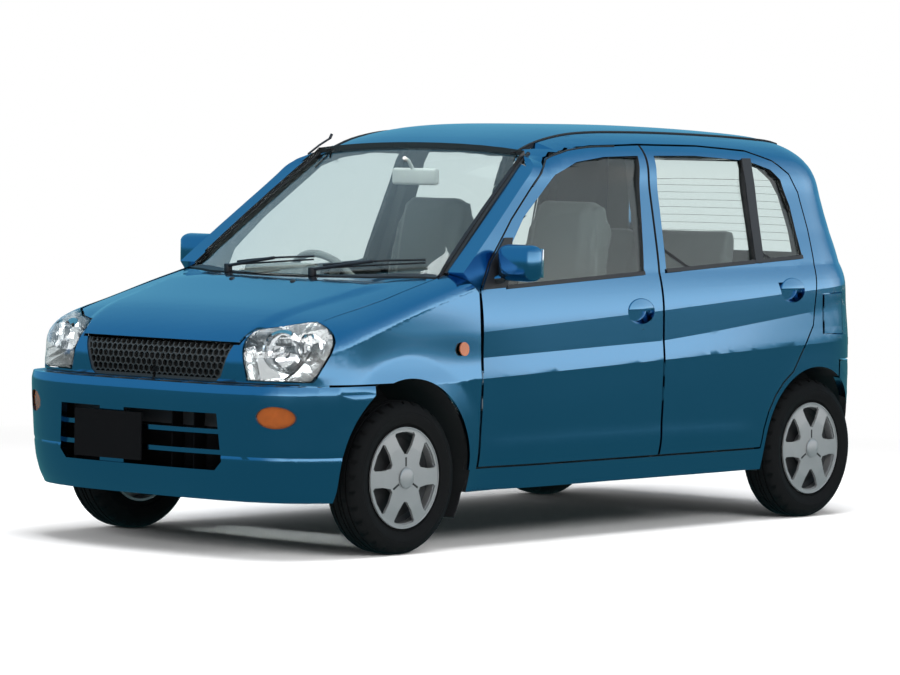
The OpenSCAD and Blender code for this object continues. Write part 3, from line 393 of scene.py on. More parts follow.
def glass(name="tinted_glass", tint=(0.80, 0.87, 0.86)):
    """Clear glass with a faint tint."""
    return finish(name, tint, 0.01, drift=0.01, Transmission_Weight=1.0, IOR=1.45)


def black_trim():
    return finish("black_trim", (0.012, 0.012, 0.014), 0.45, drift=0.2, bump=0.25, bump_depth=0.0003)


def black_gloss():
    return finish("black_ceramic", (0.016, 0.017, 0.018), 0.2, drift=0.1)


def seal_rubber():
    return finish("seal_rubber", (0.01, 0.01, 0.011), 0.55, drift=0.2, bump=0.2)


def duct_black():
    return finish("duct_black", (0.004, 0.004, 0.0045), 0.9, drift=0.2, Specular_IOR_Level=0.1)


def cabin_trim():
    return finish("grey_cabin_trim", (0.20, 0.215, 0.21), 0.6, drift=0.06, grain=700.0, bump=0.3)


def pillar_trim():
    return finish("dark_pillar_trim", (0.075, 0.08, 0.08), 0.65, drift=0.06, grain=700.0, bump=0.3)


def pale_lining():
    return finish("pale_lining", (0.62, 0.62, 0.60), 0.85, drift=0.04, grain=900.0, bump=0.35)


def coated_steel():
    return finish("coated_steel", (0.018, 0.018, 0.019), 0.55, drift=0.25, patch=9.0, bump=0.3)


def silver_paint():
    return finish("silver_cover", (0.30, 0.31, 0.315), 0.36, drift=0.03, Metallic=0.55, Coat_Weight=0.25,
                  Coat_Roughness=0.15)


def chrome():
    return finish("lamp_chrome", (0.86, 0.87, 0.88), 0.06, drift=0.03, Metallic=1.0)


def facet_chrome():
    return finish("reflector_chrome", (0.62, 0.63, 0.64), 0.12, drift=0.12, patch=30.0, grain=90.0, bump=0.35,
                  bump_depth=0.002, Metallic=1.0)


def grille_grey():
    return finish("grille_grey", (0.035, 0.036, 0.036), 0.4, drift=0.15, bump=0.2)


def amber_lens():
    return finish("amber_lens", (0.26, 0.060, 0.006), 0.12, drift=0.2, patch=40.0, grain=160.0, bump=0.5,
                  bump_depth=0.001, Coat_Weight=1.0)


def red_lens():
    return finish("red_lens", (0.30, 0.008, 0.010), 0.1, drift=0.2, patch=40.0, grain=160.0, bump=0.4,
                  bump_depth=0.001, Coat_Weight=1.0)


def rubber():
    return finish("tyre_rubber", (0.005, 0.0052, 0.0055), 0.8, drift=0.2, patch=20.0, grain=500.0, bump=0.35,
                  Specular_IOR_Level=0.15)


def seat_cloth():
    return finish("seat_cloth", (0.13, 0.145, 0.145), 0.9, drift=0.1, patch=14.0, grain=1100.0, bump=0.6,
                  Sheen_Weight=0.3)


# Helpers for pieces

def deselect():
    if bpy.context.object and bpy.context.object.mode != "OBJECT":
        bpy.ops.object.mode_set(mode="OBJECT")
    bpy.ops.object.select_all(action="DESELECT")


def wear(piece, *materials):
    """The piece's materials, in order. Its faces keep the slots that they name."""
    slots = piece.data.materials
    while len(slots) > len(materials):
        slots.pop(index=len(slots) - 1)
    for k, material in enumerate(materials):
        if k < len(slots):
            slots[k] = material
        else:
            slots.append(material)


def seat_on(piece, body, slot, *nodes):
    """Rides the piece on its body and hides the solids that it stands for. The finish's name, slot, is not
    used.
    """
    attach(piece, body)
    if nodes:
        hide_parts(*nodes)


def smooth(piece, degrees=32.0):
    take(piece)
    bpy.ops.object.shade_smooth_by_angle(angle=math.radians(degrees), keep_sharp_edges=True)
    piece.select_set(False)


def new_piece(name, bm):
    mesh = bpy.data.meshes.new(name)
    bm.to_mesh(mesh)
    bm.free()
    piece = bpy.data.objects.new(name, mesh)
    bpy.context.scene.collection.objects.link(piece)
    return piece


def merged(node):
    """Merged copy of a solid's mesh, with nothing of its shading kept."""
    mesh = NODES[node].data.copy()
    if "custom_normal" in mesh.attributes:
        mesh.attributes.remove(mesh.attributes["custom_normal"])
    bm = bmesh.new()
    bm.from_mesh(mesh)
    bpy.data.meshes.remove(mesh)
    bmesh.ops.remove_doubles(bm, verts=bm.verts, dist=2e-5)
    for edge in bm.edges:
        edge.smooth = True
    for face in bm.faces:
        face.smooth = True
        face.material_index = 0
    return bm


def spots(verts):
    """Places of vertices, in millimetres, one column each."""
    return np.array([v.co for v in verts]).T / MM


def depth(form, p):
    """Signed distance from a form's surface, negative inside."""
    slope = slope_of(form, p)
    return form(p) / np.maximum(np.linalg.norm(slope, axis=0), 1e-9)


def cut_along(bm, mark, axis, step):
    """Cuts the marked faces by evenly spaced planes, from the lowest up."""
    normal = Vector((0.0, 0.0, 0.0))
    normal[axis] = 1.0
    waiting = {}

    def queue(face):
        reach = [v.co[axis] for v in face.verts]
        number = math.floor(min(reach) / step + 1e-4) + 1
        if number * step < max(reach) - 1e-5:
            waiting.setdefault(number, []).append(face)

    for face in bm.faces:
        if face[mark]:
            queue(face)
    while waiting:
        number = min(waiting)
        for part in split_at(bm, waiting.pop(number), normal * (number * step), normal):
            queue(part)


def split_at(bm, faces, point, normal):
    """Cuts faces by a plane and gives the faces that come of it."""
    around = dict.fromkeys(part for f in faces for part in [*f.verts, *f.edges])
    cut = bmesh.ops.bisect_plane(bm, geom=faces + list(around), dist=1e-6, plane_co=point, plane_no=normal)
    return [part for part in cut["geom"] if isinstance(part, bmesh.types.BMFace)]


def in_bowl(place):
    """Whether a place lies in the bowl behind a door handle."""
    return any(math.hypot((place.x - x) / 84.0, (place.z - z) / 53.0) < 1.0 for x, z in HANDLES.values())


def cut_fold(bm, mark, ends):
    """Cuts the marked faces between two places along a fold of the sides and gives the fold's edges."""
    (xa, za), (xb, zb) = ((x, flat - CREASE_SLOPE * x * fade(flat)) for x, flat in ends)
    rise = (zb - za) / (xb - xa)
    normal = Vector((-rise, 0.0, 1.0)).normalized()
    point = Vector((xa, 0.0, za)) * MM
    faces = [f for f in bm.faces if f[mark] and xa < f.calc_center_median().x / MM < xb]
    split_at(bm, faces, point, normal)

    def on_fold(vert):
        return abs((vert.co - point).dot(normal)) < 2e-5

    return {e for f in bm.faces if f[mark] for e in f.edges
            if all(on_fold(v) and xa - 1.0 < v.co.x / MM < xb + 1.0 for v in e.verts)}


def on_form(p, form):
    """Points moved onto a form along its slope."""
    for _ in range(5):
        slope = slope_of(form, p)
        size = np.maximum(np.linalg.norm(slope, axis=0), 1e-7)
        p = p - slope / size * np.clip(form(p) / size, -12.0, 12.0)
    return p


def on_form_along(p, form, axis):
    """Points moved along one axis onto a form."""
    for _ in range(14):
        rate = slope_of(form, p)[axis]
        p[axis] -= np.clip(form(p) / np.where(np.abs(rate) < 1e-7, 1e-7, rate), -40.0, 40.0)
    return p


def pressing(node, form, relief, axes, pitch, reach=6.5):
    """Mesh of a panel: the solid's copy, cut finely and laid on the true surface with its relief."""
    bm = merged(node)
    mark = bm.faces.layers.int.new("outer")
    near = np.abs(depth(form, spots(bm.verts))) < reach
    for vert, close in zip(bm.verts, near):
        vert.tag = bool(close)
    for face, turned in zip(bm.faces, facing(bm.faces, form)):
        hollow = relief is side_relief and in_bowl(face.calc_center_median() / MM)
        face[mark] = int(turned > 0.5 and all(v.tag for v in face.verts) and not hollow)
    for axis, step in zip(axes, pitch):
        cut_along(bm, mark, axis, step * MM)
    crisp = set()
    if relief is side_relief:
        for fold in SIDE_FOLDS:
            crisp |= cut_fold(bm, mark, fold)
    skin = list(dict.fromkeys(v for f in bm.faces if f[mark] for v in f.verts))
    p = on_form(spots(skin), form)
    p = p + unit_slope(form, p) * relief(p)
    for vert, place in zip(skin, p.T):
        vert.co = Vector(place) * MM
    for edge in crisp:
        if edge.is_valid:
            edge.smooth = False
    bm.normal_update()
    deep = depth(form, middles(bm.faces)) < -27.0
    for face, turned, inner in zip(bm.faces, facing(bm.faces, form), deep):
        face.material_index = finish_of(node, face, turned, inner)
    bm.faces.layers.int.remove(mark)
    return bm


def finish_of(node, face, turned, inner):
    """Slot of a panel's face: 0 paint, 1 lining, 2 dark edge. The dark edge on the walls round the windows
    and the roof is partly their black rubber and partly painted shade; on the walls round the wheel arches
    and the low ends of the sills it is painted shade.
    """
    place = face.calc_center_median() / MM
    looks_in, looks_out = -0.35, 0.4
    over_belt = place.z > BELT_Z
    if node == "roof_panel" and looks_in <= turned < 0.5:
        return 2
    if node.startswith("door") and looks_in <= turned < looks_out and over_belt:
        return 2
    if node.startswith("side_frame"):
        if face.normal.x > 0.25 and place.z > BELT_Z - 30.0 and place.x > 150.0:
            return 0
        # Walls round the wheel arches and the low ends of the sills: painted shade on painted walls
        if place.z < 660.0 and not -960.0 < place.x < 690.0 and turned < looks_out:
            return 2
        if abs(turned) < looks_out and face.normal.x < 0.1 and over_belt:
            return 2
    return int(turned < looks_in or inner)


def middles(faces):
    """Middles of faces, in millimetres, one column each."""
    return np.array([f.calc_center_median() for f in faces]).T / MM


def facing(faces, form):
    """How far each face looks out of a form: 1 straight out, -1 straight in."""
    normals = np.array([f.normal for f in faces]).T
    return (unit_slope(form, middles(faces)) * normals).sum(axis=0)


# Modelling helpers, as by hand

def made(name):
    """The piece that an operator has just added, with its name."""
    piece = bpy.context.object
    piece.name = name
    piece.data.name = name
    return piece


def take(piece):
    """Selects only this piece and makes it active."""
    deselect()
    piece.select_set(True)
    bpy.context.view_layer.objects.active = piece


def settle(piece):
    """Moves the piece's place, turn and size into its mesh."""
    take(piece)
    bpy.ops.object.transform_apply(location=True, rotation=True, scale=True)


def finish_with(piece, kind, **values):
    """Adds a modifier with its values and applies it."""
    take(piece)
    modifier = piece.modifiers.new(kind.title(), kind)
    for key, value in values.items():
        setattr(modifier, key, value)
    bpy.ops.object.modifier_apply(modifier=modifier.name)


def edit(piece):
    """Opens the piece in edit mode with everything selected."""
    take(piece)
    bpy.ops.object.mode_set(mode="EDIT")
    bpy.ops.mesh.select_all(action="SELECT")


def pick(piece, test):
    """In edit mode, selects the faces whose middle, in millimetres, and normal pass a test."""
    bm = bmesh.from_edit_mesh(piece.data)
    for face in bm.faces:
        face.select_set(bool(test(face.calc_center_median() / MM, face.normal)))
    bm.select_flush_mode()
    bmesh.update_edit_mesh(piece.data)


def close_edit():
    bpy.ops.object.mode_set(mode="OBJECT")


def copy_of(piece, name, move=None):
    """Copy with its own mesh, moved or mirrored."""
    twin = piece.copy()
    twin.data = piece.data.copy()
    twin.name = name
    twin.data.name = name
    bpy.context.scene.collection.objects.link(twin)
    if move:
        twin.data.transform(move)
        if move.determinant() < 0.0:
            twin.data.flip_normals()
    return twin


def join_all(name, pieces):
    deselect()
    for piece in pieces:
        piece.select_set(True)
    bpy.context.view_layer.objects.active = pieces[0]
    bpy.ops.object.join()
    return made(name)


def both_sides(piece, name):
    """The piece joined with its mirror image across the car."""
    twin = copy_of(piece, name + "_twin", MIRROR)
    return join_all(name, [piece, twin])


def to_side(piece, side):
    """Mirrors a piece of the left side that belongs on the right."""
    if side < 0.0:
        piece.data.transform(MIRROR)
        piece.data.flip_normals()


def block(name, low, high, bevel, segments=3):
    """Rounded box between two corners, in millimetres."""
    deselect()
    bpy.ops.mesh.primitive_cube_add(size=1.0)
    piece = made(name)
    piece.scale = [(h - l) * MM for l, h in zip(low, high)]
    piece.location = [(h + l) / 2.0 * MM for l, h in zip(low, high)]
    settle(piece)
    finish_with(piece, "BEVEL", width=bevel * MM, segments=segments)
    return piece


def sheet_on(name, form, corners, cuts, lift, axis=None):
    """Grid between four corners, in millimetres, laid on a form and lifted off it."""
    deselect()
    bpy.ops.mesh.primitive_grid_add(x_subdivisions=cuts[0], y_subdivisions=cuts[1], size=2.0)
    piece = made(name)
    a, b, c, d = (np.array(corner, dtype=float) for corner in corners)
    u, v = (np.array([vert.co for vert in piece.data.vertices]).T[:2] + 1.0) / 2.0
    near = np.outer(a, 1 - u) + np.outer(b, u)
    far = np.outer(d, 1 - u) + np.outer(c, u)
    p = near * (1 - v) + far * v
    if axis is not None:
        p = on_form_along(p, form, axis)
    p = on_form(p, form)
    p = p + unit_slope(form, p) * lift
    for vert, place in zip(piece.data.vertices, p.T):
        vert.co = Vector(place) * MM
    return piece


def thicken(piece, thick):
    finish_with(piece, "SOLIDIFY", thickness=thick * MM, offset=-1.0)


def round_over(piece, width, degrees):
    """Rounds the edges that turn by more than an angle."""
    finish_with(piece, "BEVEL", width=width * MM, segments=3, limit_method="ANGLE",
                angle_limit=math.radians(degrees))


def rod(name, points, radius, sides=3):
    """Round bar through points, in millimetres."""
    data = bpy.data.curves.new(name, "CURVE")
    data.dimensions = "3D"
    data.bevel_depth = radius * MM
    data.bevel_resolution = sides
    data.use_fill_caps = True
    spline = data.splines.new("POLY")
    spline.points.add(len(points) - 1)
    for point, place in zip(spline.points, points):
        point.co = (*(Vector(place) * MM), 1.0)
    bar = bpy.data.objects.new(name, data)
    bpy.context.scene.collection.objects.link(bar)
    take(bar)
    bpy.ops.object.convert(target="MESH")
    return made(name)


def seal_and_shade_bar(name, points, radius):
    """Dark rubber bar through points of the body, in millimetres, one column each: seals and mouldings, and
    painted shade where it fills a gap.
    """
    piece = rod(name, points.T, radius, 2)
    wear(piece, seal_rubber())
    smooth(piece, 60.0)
    seat_on(piece, "body", "black_plastic")


def profile_bar(name, outline, low_y, high_y, bevel):
    """Side outline of [x, z] points, in millimetres, drawn out across the car and rounded."""
    deselect()
    bpy.ops.mesh.primitive_circle_add(vertices=len(outline), radius=1.0, fill_type="NGON")
    piece = made(name)
    for vert, (x, z) in zip(piece.data.vertices, outline):
        vert.co = Vector((x, low_y, z)) * MM
    edit(piece)
    bpy.ops.mesh.extrude_region_move(TRANSFORM_OT_translate={"value": (0.0, (high_y - low_y) * MM, 0.0)})
    bpy.ops.mesh.select_all(action="SELECT")
    bpy.ops.mesh.normals_make_consistent(inside=False)
    close_edit()
    round_over(piece, bevel, 25.0)
    return piece


def kept_faces(piece, test):
    """Deletes the faces that fail a test."""
    edit(piece)
    pick(piece, lambda place, normal: not test(place, normal))
    bpy.ops.mesh.delete(type="FACE")
    close_edit()


def copied_solid(node, name):
    """A solid's merged copy as a new piece."""
    return new_piece(name, merged(node))


def border_of(pane, name, width, lift, outward):
    """Band round the outer face of a pane."""
    band = copy_of(pane, name)
    kept_faces(band, lambda place, normal: normal.dot(outward(place)) > 0.6)
    edit(band)
    bpy.ops.mesh.inset(thickness=width * MM, use_boundary=True, use_even_offset=True)
    bpy.ops.mesh.delete(type="FACE")
    bpy.ops.mesh.select_all(action="SELECT")
    close_edit()
    out = np.array([outward(v.co / MM) for v in band.data.vertices])
    for vert, way in zip(band.data.vertices, out):
        vert.co += Vector(way) * (lift * MM)
    return band


# Settings that a user would change

class KeiPaint(bpy.types.PropertyGroup):
    """Body paint"""

    colour: FloatVectorProperty(
        name="Colour", description="Base of the metallic paint", subtype="COLOR", size=3, min=0.0, max=1.0,
        default=(0.095, 0.285, 0.50))
    metallic: FloatProperty(
        name="Metallic", description="Share of metal in the base coat", default=1.0, min=0.0, max=1.0,
        subtype="FACTOR")
    roughness: FloatProperty(
        name="Roughness", description="Spread of the flakes", default=0.16, min=0.05, max=1.0,
        subtype="FACTOR")
    flake_scale: FloatProperty(
        name="Flake scale", description="Flakes to the metre", default=1400.0, min=100.0, max=4000.0)
    flake_depth: FloatProperty(
        name="Flake depth", description="How far the flakes tilt", default=0.012, min=0.0, max=1.0,
        subtype="FACTOR")
    panel_pitch: FloatProperty(
        name="Panel pitch", description="Spacing of the cuts on a panel, in millimetres", default=36.0,
        min=15.0, max=80.0)


class KeiStage(bpy.types.PropertyGroup):
    """Studio"""

    floor_colour: FloatVectorProperty(
        name="Floor", description="Colour of the floor", subtype="COLOR", size=3, min=0.0, max=1.0,
        default=(0.90, 0.90, 0.90))
    key_power: FloatProperty(
        name="Key light", description="Power of the softbox overhead", default=520.0, min=0.0, unit="POWER")
    ambient: FloatProperty(
        name="Ambient", description="Strength of the light from all round", default=0.40, min=0.0, max=2.0)


# Operators

class KEI_OT_panels(bpy.types.Operator):
    """Lays the painted panels on their true surfaces"""

    bl_idname = "kei.panels"
    bl_label = "Body panels"

    SIDES = ("door_fl", "door_fr", "door_rl", "door_rr", "side_frame_left", "side_frame_right", "fuel_flap")

    def execute(self, context):
        pitch = context.scene.kei_paint.panel_pitch
        fine = pitch / 2.0
        for node in self.SIDES:
            body = node if node.startswith(("door", "fuel")) else "body"
            axes, steps = ((0, 2), (pitch, fine)) if body != "body" else ((0, 1, 2), (pitch, pitch, fine))
            skin = pressing(node, cabin_form, side_relief, axes, steps, reach=17.0)
            self.lay(node, body, skin, pillar_trim())
        even = (pitch, pitch)
        fender = (nose_form, fender_relief, (0, 1, 2), (fine, fine, fine / 2.0))
        rows = [
            ("roof_panel", "body", pale_lining, cabin_form, plain_relief, (0, 1), even),
            ("tailgate", "tailgate", cabin_trim, tail_form, plain_relief, (1, 2), even),
            ("bonnet", "bonnet", coated_steel, nose_form, bonnet_relief, (0, 1), (pitch, fine)),
            ("fender_left", "body", coated_steel, *fender),
            ("fender_right", "body", coated_steel, *fender),
            ("front_bumper", "body", coated_steel, front_form, bumper_relief, (1, 2), (24.0, 10.0)),
            ("rear_bumper", "body", coated_steel, rear_bumper_form, plain_relief, (1, 2), even),
        ]
        for node, body, lining, *cut in rows:
            self.lay(node, body, pressing(node, *cut), lining())
        return {"FINISHED"}

    def lay(self, node, body, bm, lining):
        piece = new_piece("skin_" + node, bm)
        # Third slot: dark edge, partly rubber and partly painted shade on walls
        wear(piece, paint(), lining, coated_steel())
        smooth(piece, 22.0)
        seat_on(piece, body, "paint", node)


class KEI_OT_glazing(bpy.types.Operator):
    """Replaces the panes by smooth ones with their dark borders and seals"""

    bl_idname = "kei.glazing"
    bl_label = "Glass"

    SCREEN_BORDER = 24.0
    TAIL_BORDER = 30.0
    SEAL = 11.0
    BELT_RUNS = [("f", 566.0, -214.0), ("r", -344.0, -890.0), ("rq", -934.0, -1192.0)]
    DOOR_TOP = [(330.0, 1270.0), (270.0, 1318.0), (204.0, 1368.0), (170.0, 1379.0), (120.0, 1390.0),
                (70.0, 1401.0), (0.0, 1409.0), (-75.0, 1415.0), (-200.0, 1418.0)]

    def execute(self, context):
        ahead = Vector((0.6, 0.0, 0.8)).normalized()
        back = Vector((-1.0, 0.0, 0.25)).normalized()
        self.pane("windscreen", "body", self.SCREEN_BORDER, lambda place: ahead, black_gloss())
        self.pane("tailgate_glass", "tailgate", self.TAIL_BORDER, lambda place: back, black_gloss())
        for corner in ("fl", "fr", "rl", "rr"):
            self.pane("glass_" + corner, "door_" + corner, self.SEAL, outward_side, seal_rubber())
        self.demister()
        for side, letter in LEFT_RIGHT:
            self.divider(side, letter)
            self.sail(side, letter)
            self.belt_seals(side, letter)
            self.screen_seal(side, letter)
            self.door_gap_seal_and_shade(side, letter)
        return {"FINISHED"}

    def pane(self, node, body, border, outward, dark):
        piece = copied_solid(node, "pane_" + node)
        wear(piece, glass())
        smooth(piece)
        seat_on(piece, body, "glass", node)
        band = border_of(piece, "border_" + node, border, 0.9, outward)
        wear(band, dark)
        smooth(band)
        seat_on(band, body, "black_plastic")

    def demister(self):
        """Fine heating lines on the rear glass."""
        lines = []
        for k in range(9):
            z = 1050.0 + 33.0 * k
            half = np.interp(z, [1010.0, 1362.0], [415.0, 345.0])
            y = np.linspace(-half, half, 24)
            p = on_form(np.array([np.full(24, TAIL_X + 100.0), y, np.full(24, z)]), tail_form)
            p[0] += 17.0
            lines.append(rod(f"demister_line_{k}", p.T, 0.8, 1))
        piece = join_all("demister_lines", lines)
        wear(piece, coated_steel())
        seat_on(piece, "tailgate", "black_plastic")

    def divider(self, side, letter):
        """Black post between the rear door's two panes."""
        low, high = 984.0, 1378.0
        corners = [(-888.0, 700.0, low), (-926.0, 560.0, high), (-981.0, 560.0, high), (-938.0, 700.0, low)]
        self.dark_patch("divider_r" + letter, corners, side, "door_r" + letter, (4, 12))

    def sail(self, side, letter):
        """Black corner plate that carries the mirror, in two fields that follow the door's front edge."""
        low = [(694.0, 690.0, 908.0), (562.0, 690.0, 914.0), (534.0, 670.0, 1000.0), (632.0, 670.0, 1000.0)]
        high = [low[3], low[2], (496.0, 640.0, 1088.0), (540.0, 640.0, 1088.0)]
        for field, corners in (("low", low), ("high", high)):
            self.dark_patch(f"mirror_plate_{field}_{letter}", corners, side, "door_f" + letter, (8, 8), 4.5)

    def belt_seals(self, side, letter):
        """Rubber lips under the panes of the doors."""
        for name, first, last in self.BELT_RUNS:
            corners = []
            for x, rise in ((first, 5.0), (last, 5.0), (last, 19.0), (first, 19.0)):
                corners.append((x, 690.0, BELT_FOOT - BELT_SLOPE * x + rise))
            door = "door_" + name[0] + letter
            self.dark_patch(f"belt_seal_{name}_{letter}", corners, side, door, (24, 2), 6.0)

    def screen_seal(self, side, letter):
        """Rubber between the windscreen and its pillar."""
        z = np.linspace(962.0, 1390.0, 20)
        p = screen_points(side * np.linspace(615.0, 508.0, 20), z, -3.0)
        seal_and_shade_bar("screen_seal_" + letter, p, 8.0)

    def door_gap_seal_and_shade(self, side, letter):
        """Dark bar over the front door, along its upper edge: partly its rubber seal, partly painted shade of
        the gap under the roof rail.
        """
        x, z = np.array(self.DOOR_TOP).T
        p = on_form_along(np.array([x, np.full(len(x), side * 560.0), z]), cabin_form, 1)
        seal_and_shade_bar("door_gap_seal_and_shade_" + letter, p, 3.4)

    def dark_patch(self, name, corners, side, body, cuts, lift=3.2):
        """Black field between four corners of the left side, or their mirror image."""
        placed = [(x, y * side, z) for x, y, z in corners]
        if side < 0.0:
            placed = placed[::-1]
        piece = sheet_on(name, cabin_form, placed, cuts, lift, 1)
        thicken(piece, 4.0)
        wear(piece, black_trim())
        smooth(piece)
        seat_on(piece, body, "black_plastic")


def outward_side(place):
    return Vector((0.0, math.copysign(0.97, place.y), 0.24))


class KEI_OT_tyres(bpy.types.Operator):
    """Spins a tyre, cuts its tread and sets one on each wheel"""

    bl_idname = "kei.tyres"
    bl_label = "Tyres"

    SPINS = 120
    # Half outline from the bead to the middle of the tread: radius and offset from the middle plane
    HALF = [[167.0, 55.5], [177.0, 57.0], [184.0, 60.5], [188.0, 67.0], [193.0, 67.5], [203.0, 73.6],
            [216.0, 77.0], [222.0, 77.4], [224.0, 76.0], [226.5, 76.9], [238.0, 74.0], [248.0, 68.5],
            [255.0, 62.5], [260.5, 56.0], [264.2, 48.0], [265.2, 37.0], [259.0, 36.0], [259.0, 30.5],
            [265.5, 29.5], [265.9, 11.5], [259.5, 10.5], [259.5, 5.0], [266.0, 4.0]]

    def execute(self, context):
        first = self.spun()
        self.cut_blocks(first)
        for corner, x, side in WHEELS:
            move = Matrix.Translation(Vector((x, side * WHEEL_Y, AXLE_Z)) * MM)
            piece = copy_of(first, "tread_" + corner, move)
            wear(piece, rubber())
            smooth(piece, 28.0)
            seat_on(piece, "wheel_" + corner, "tyre", "tyre_" + corner)
        bpy.data.objects.remove(first)
        return {"FINISHED"}

    def spun(self):
        ring = self.HALF + [[r, -y] for r, y in reversed(self.HALF)]
        deselect()
        bpy.ops.mesh.primitive_circle_add(vertices=len(ring), radius=1.0)
        piece = made("tyre_pattern")
        for vert, (radius, y) in zip(piece.data.vertices, ring):
            vert.co = Vector((0.0, y, radius)) * MM
        edit(piece)
        bpy.ops.mesh.spin(steps=self.SPINS, angle=2.0 * math.pi, center=(0.0, 0.0, 0.0), axis=(0.0, 1.0, 0.0))
        bpy.ops.mesh.select_all(action="SELECT")
        bpy.ops.mesh.remove_doubles(threshold=2e-5)
        bpy.ops.mesh.normals_make_consistent(inside=False)
        close_edit()
        return piece

    def cut_blocks(self, piece):
        """Sinks cross grooves into the shoulders and the ribs."""
        turn = 2.0 * math.pi / self.SPINS

        def groove(place, normal):
            step = round(math.atan2(place.x, place.z) / turn - 0.5)
            radius = math.hypot(place.x, place.z)
            wide = abs(place.y)
            shoulder = 37.5 < wide < 60.0 and radius > 257.0 and step % 4 == 0
            rib = 12.0 < wide < 29.0 and radius > 264.0 and (step + 2) % 4 == 0
            return shoulder or rib

        edit(piece)
        pick(piece, groove)
        bpy.ops.mesh.extrude_region()
        bpy.ops.transform.resize(value=(0.975, 1.0, 0.975), center_override=(0.0, 0.0, 0.0))
        close_edit()


class KEI_OT_wheels(bpy.types.Operator):
    """Adds the dark disc behind the covers, partly their steel and partly painted shade, and the covers'
    slots, caps and bright edges
    """

    bl_idname = "kei.wheels"
    bl_label = "Wheel covers"

    COVER_Z = 60.5

    def execute(self, context):
        shade = self.shade()
        trim = self.trim()
        for corner, x, side in WHEELS:
            turn = Matrix.Rotation(math.radians(-90.0 * side), 4, "X")
            move = Matrix.Translation(Vector((x, side * WHEEL_Y, AXLE_Z)) * MM) @ turn
            back = copy_of(shade, "wheel_shade_" + corner, move)
            wear(back, coated_steel())
            smooth(back)
            seat_on(back, "wheel_" + corner, "steel")
            face = copy_of(trim, "cover_trim_" + corner, move)
            wear(face, silver_paint(), black_trim())
            smooth(face)
            seat_on(face, "wheel_" + corner, "silver")
        bpy.data.objects.remove(shade)
        bpy.data.objects.remove(trim)
        return {"FINISHED"}

    def shade(self):
        """Dished black disc behind the openings: partly the wheel's dark steel, partly painted shade inside
        the wheel.
        """
        deselect()
        bpy.ops.mesh.primitive_circle_add(vertices=72, radius=0.0635, fill_type="NOTHING",
                                          location=(0.0, 0.0, 0.030))
        piece = made("shade_pattern")
        settle(piece)
        edit(piece)
        for radius, drop in ((0.105, -0.006), (0.140, -0.004), (0.1575, 0.010)):
            bpy.ops.mesh.extrude_region()
            scale = radius / self.reach(piece)
            bpy.ops.transform.resize(value=(scale, scale, 1.0), center_override=(0.0, 0.0, 0.0))
            bpy.ops.transform.translate(value=(0.0, 0.0, drop))
        bpy.ops.mesh.select_all(action="SELECT")
        bpy.ops.mesh.normals_make_consistent(inside=False)
        close_edit()
        thicken(piece, 2.0)
        return piece

    def reach(self, piece):
        bm = bmesh.from_edit_mesh(piece.data)
        return max(math.hypot(v.co.x, v.co.y) for v in bm.verts if v.select)

    def trim(self):
        """Bright edge, domed cap and three slots of a cover; the slots are black blocks, painted shade of
        their openings.
        """
        deselect()
        bpy.ops.mesh.primitive_torus_add(major_radius=0.1735, minor_radius=0.0026, major_segments=96,
                                         minor_segments=8, location=(0.0, 0.0, (self.COVER_Z + 6.5) * MM))
        edge = made("cover_edge")
        settle(edge)
        deselect()
        bpy.ops.mesh.primitive_uv_sphere_add(segments=40, ring_count=20, radius=0.036,
                                             location=(0.0, 0.0, (self.COVER_Z + 16.5) * MM))
        cap = made("cover_cap")
        cap.scale = (1.0, 1.0, 0.26)
        settle(cap)
        slots = []
        for k in range(3):
            low = (40.0, -3.8, self.COVER_Z + 9.0)
            high = (72.0, 3.8, self.COVER_Z + 13.4)
            slot = block(f"cover_slot_shade_{k}", low, high, 1.2)
            slot.data.transform(Matrix.Rotation(math.radians(120.0 * k + 30.0), 4, "Z"))
            slots.append(slot)
        for piece in (edge, cap):
            wear(piece, silver_paint(), black_trim())
        for slot in slots:
            wear(slot, silver_paint(), black_trim())
            # Black slot faces: painted shade of the openings
            for face in slot.data.polygons:
                face.material_index = 1
        return join_all("cover_trim", [edge, cap] + slots)


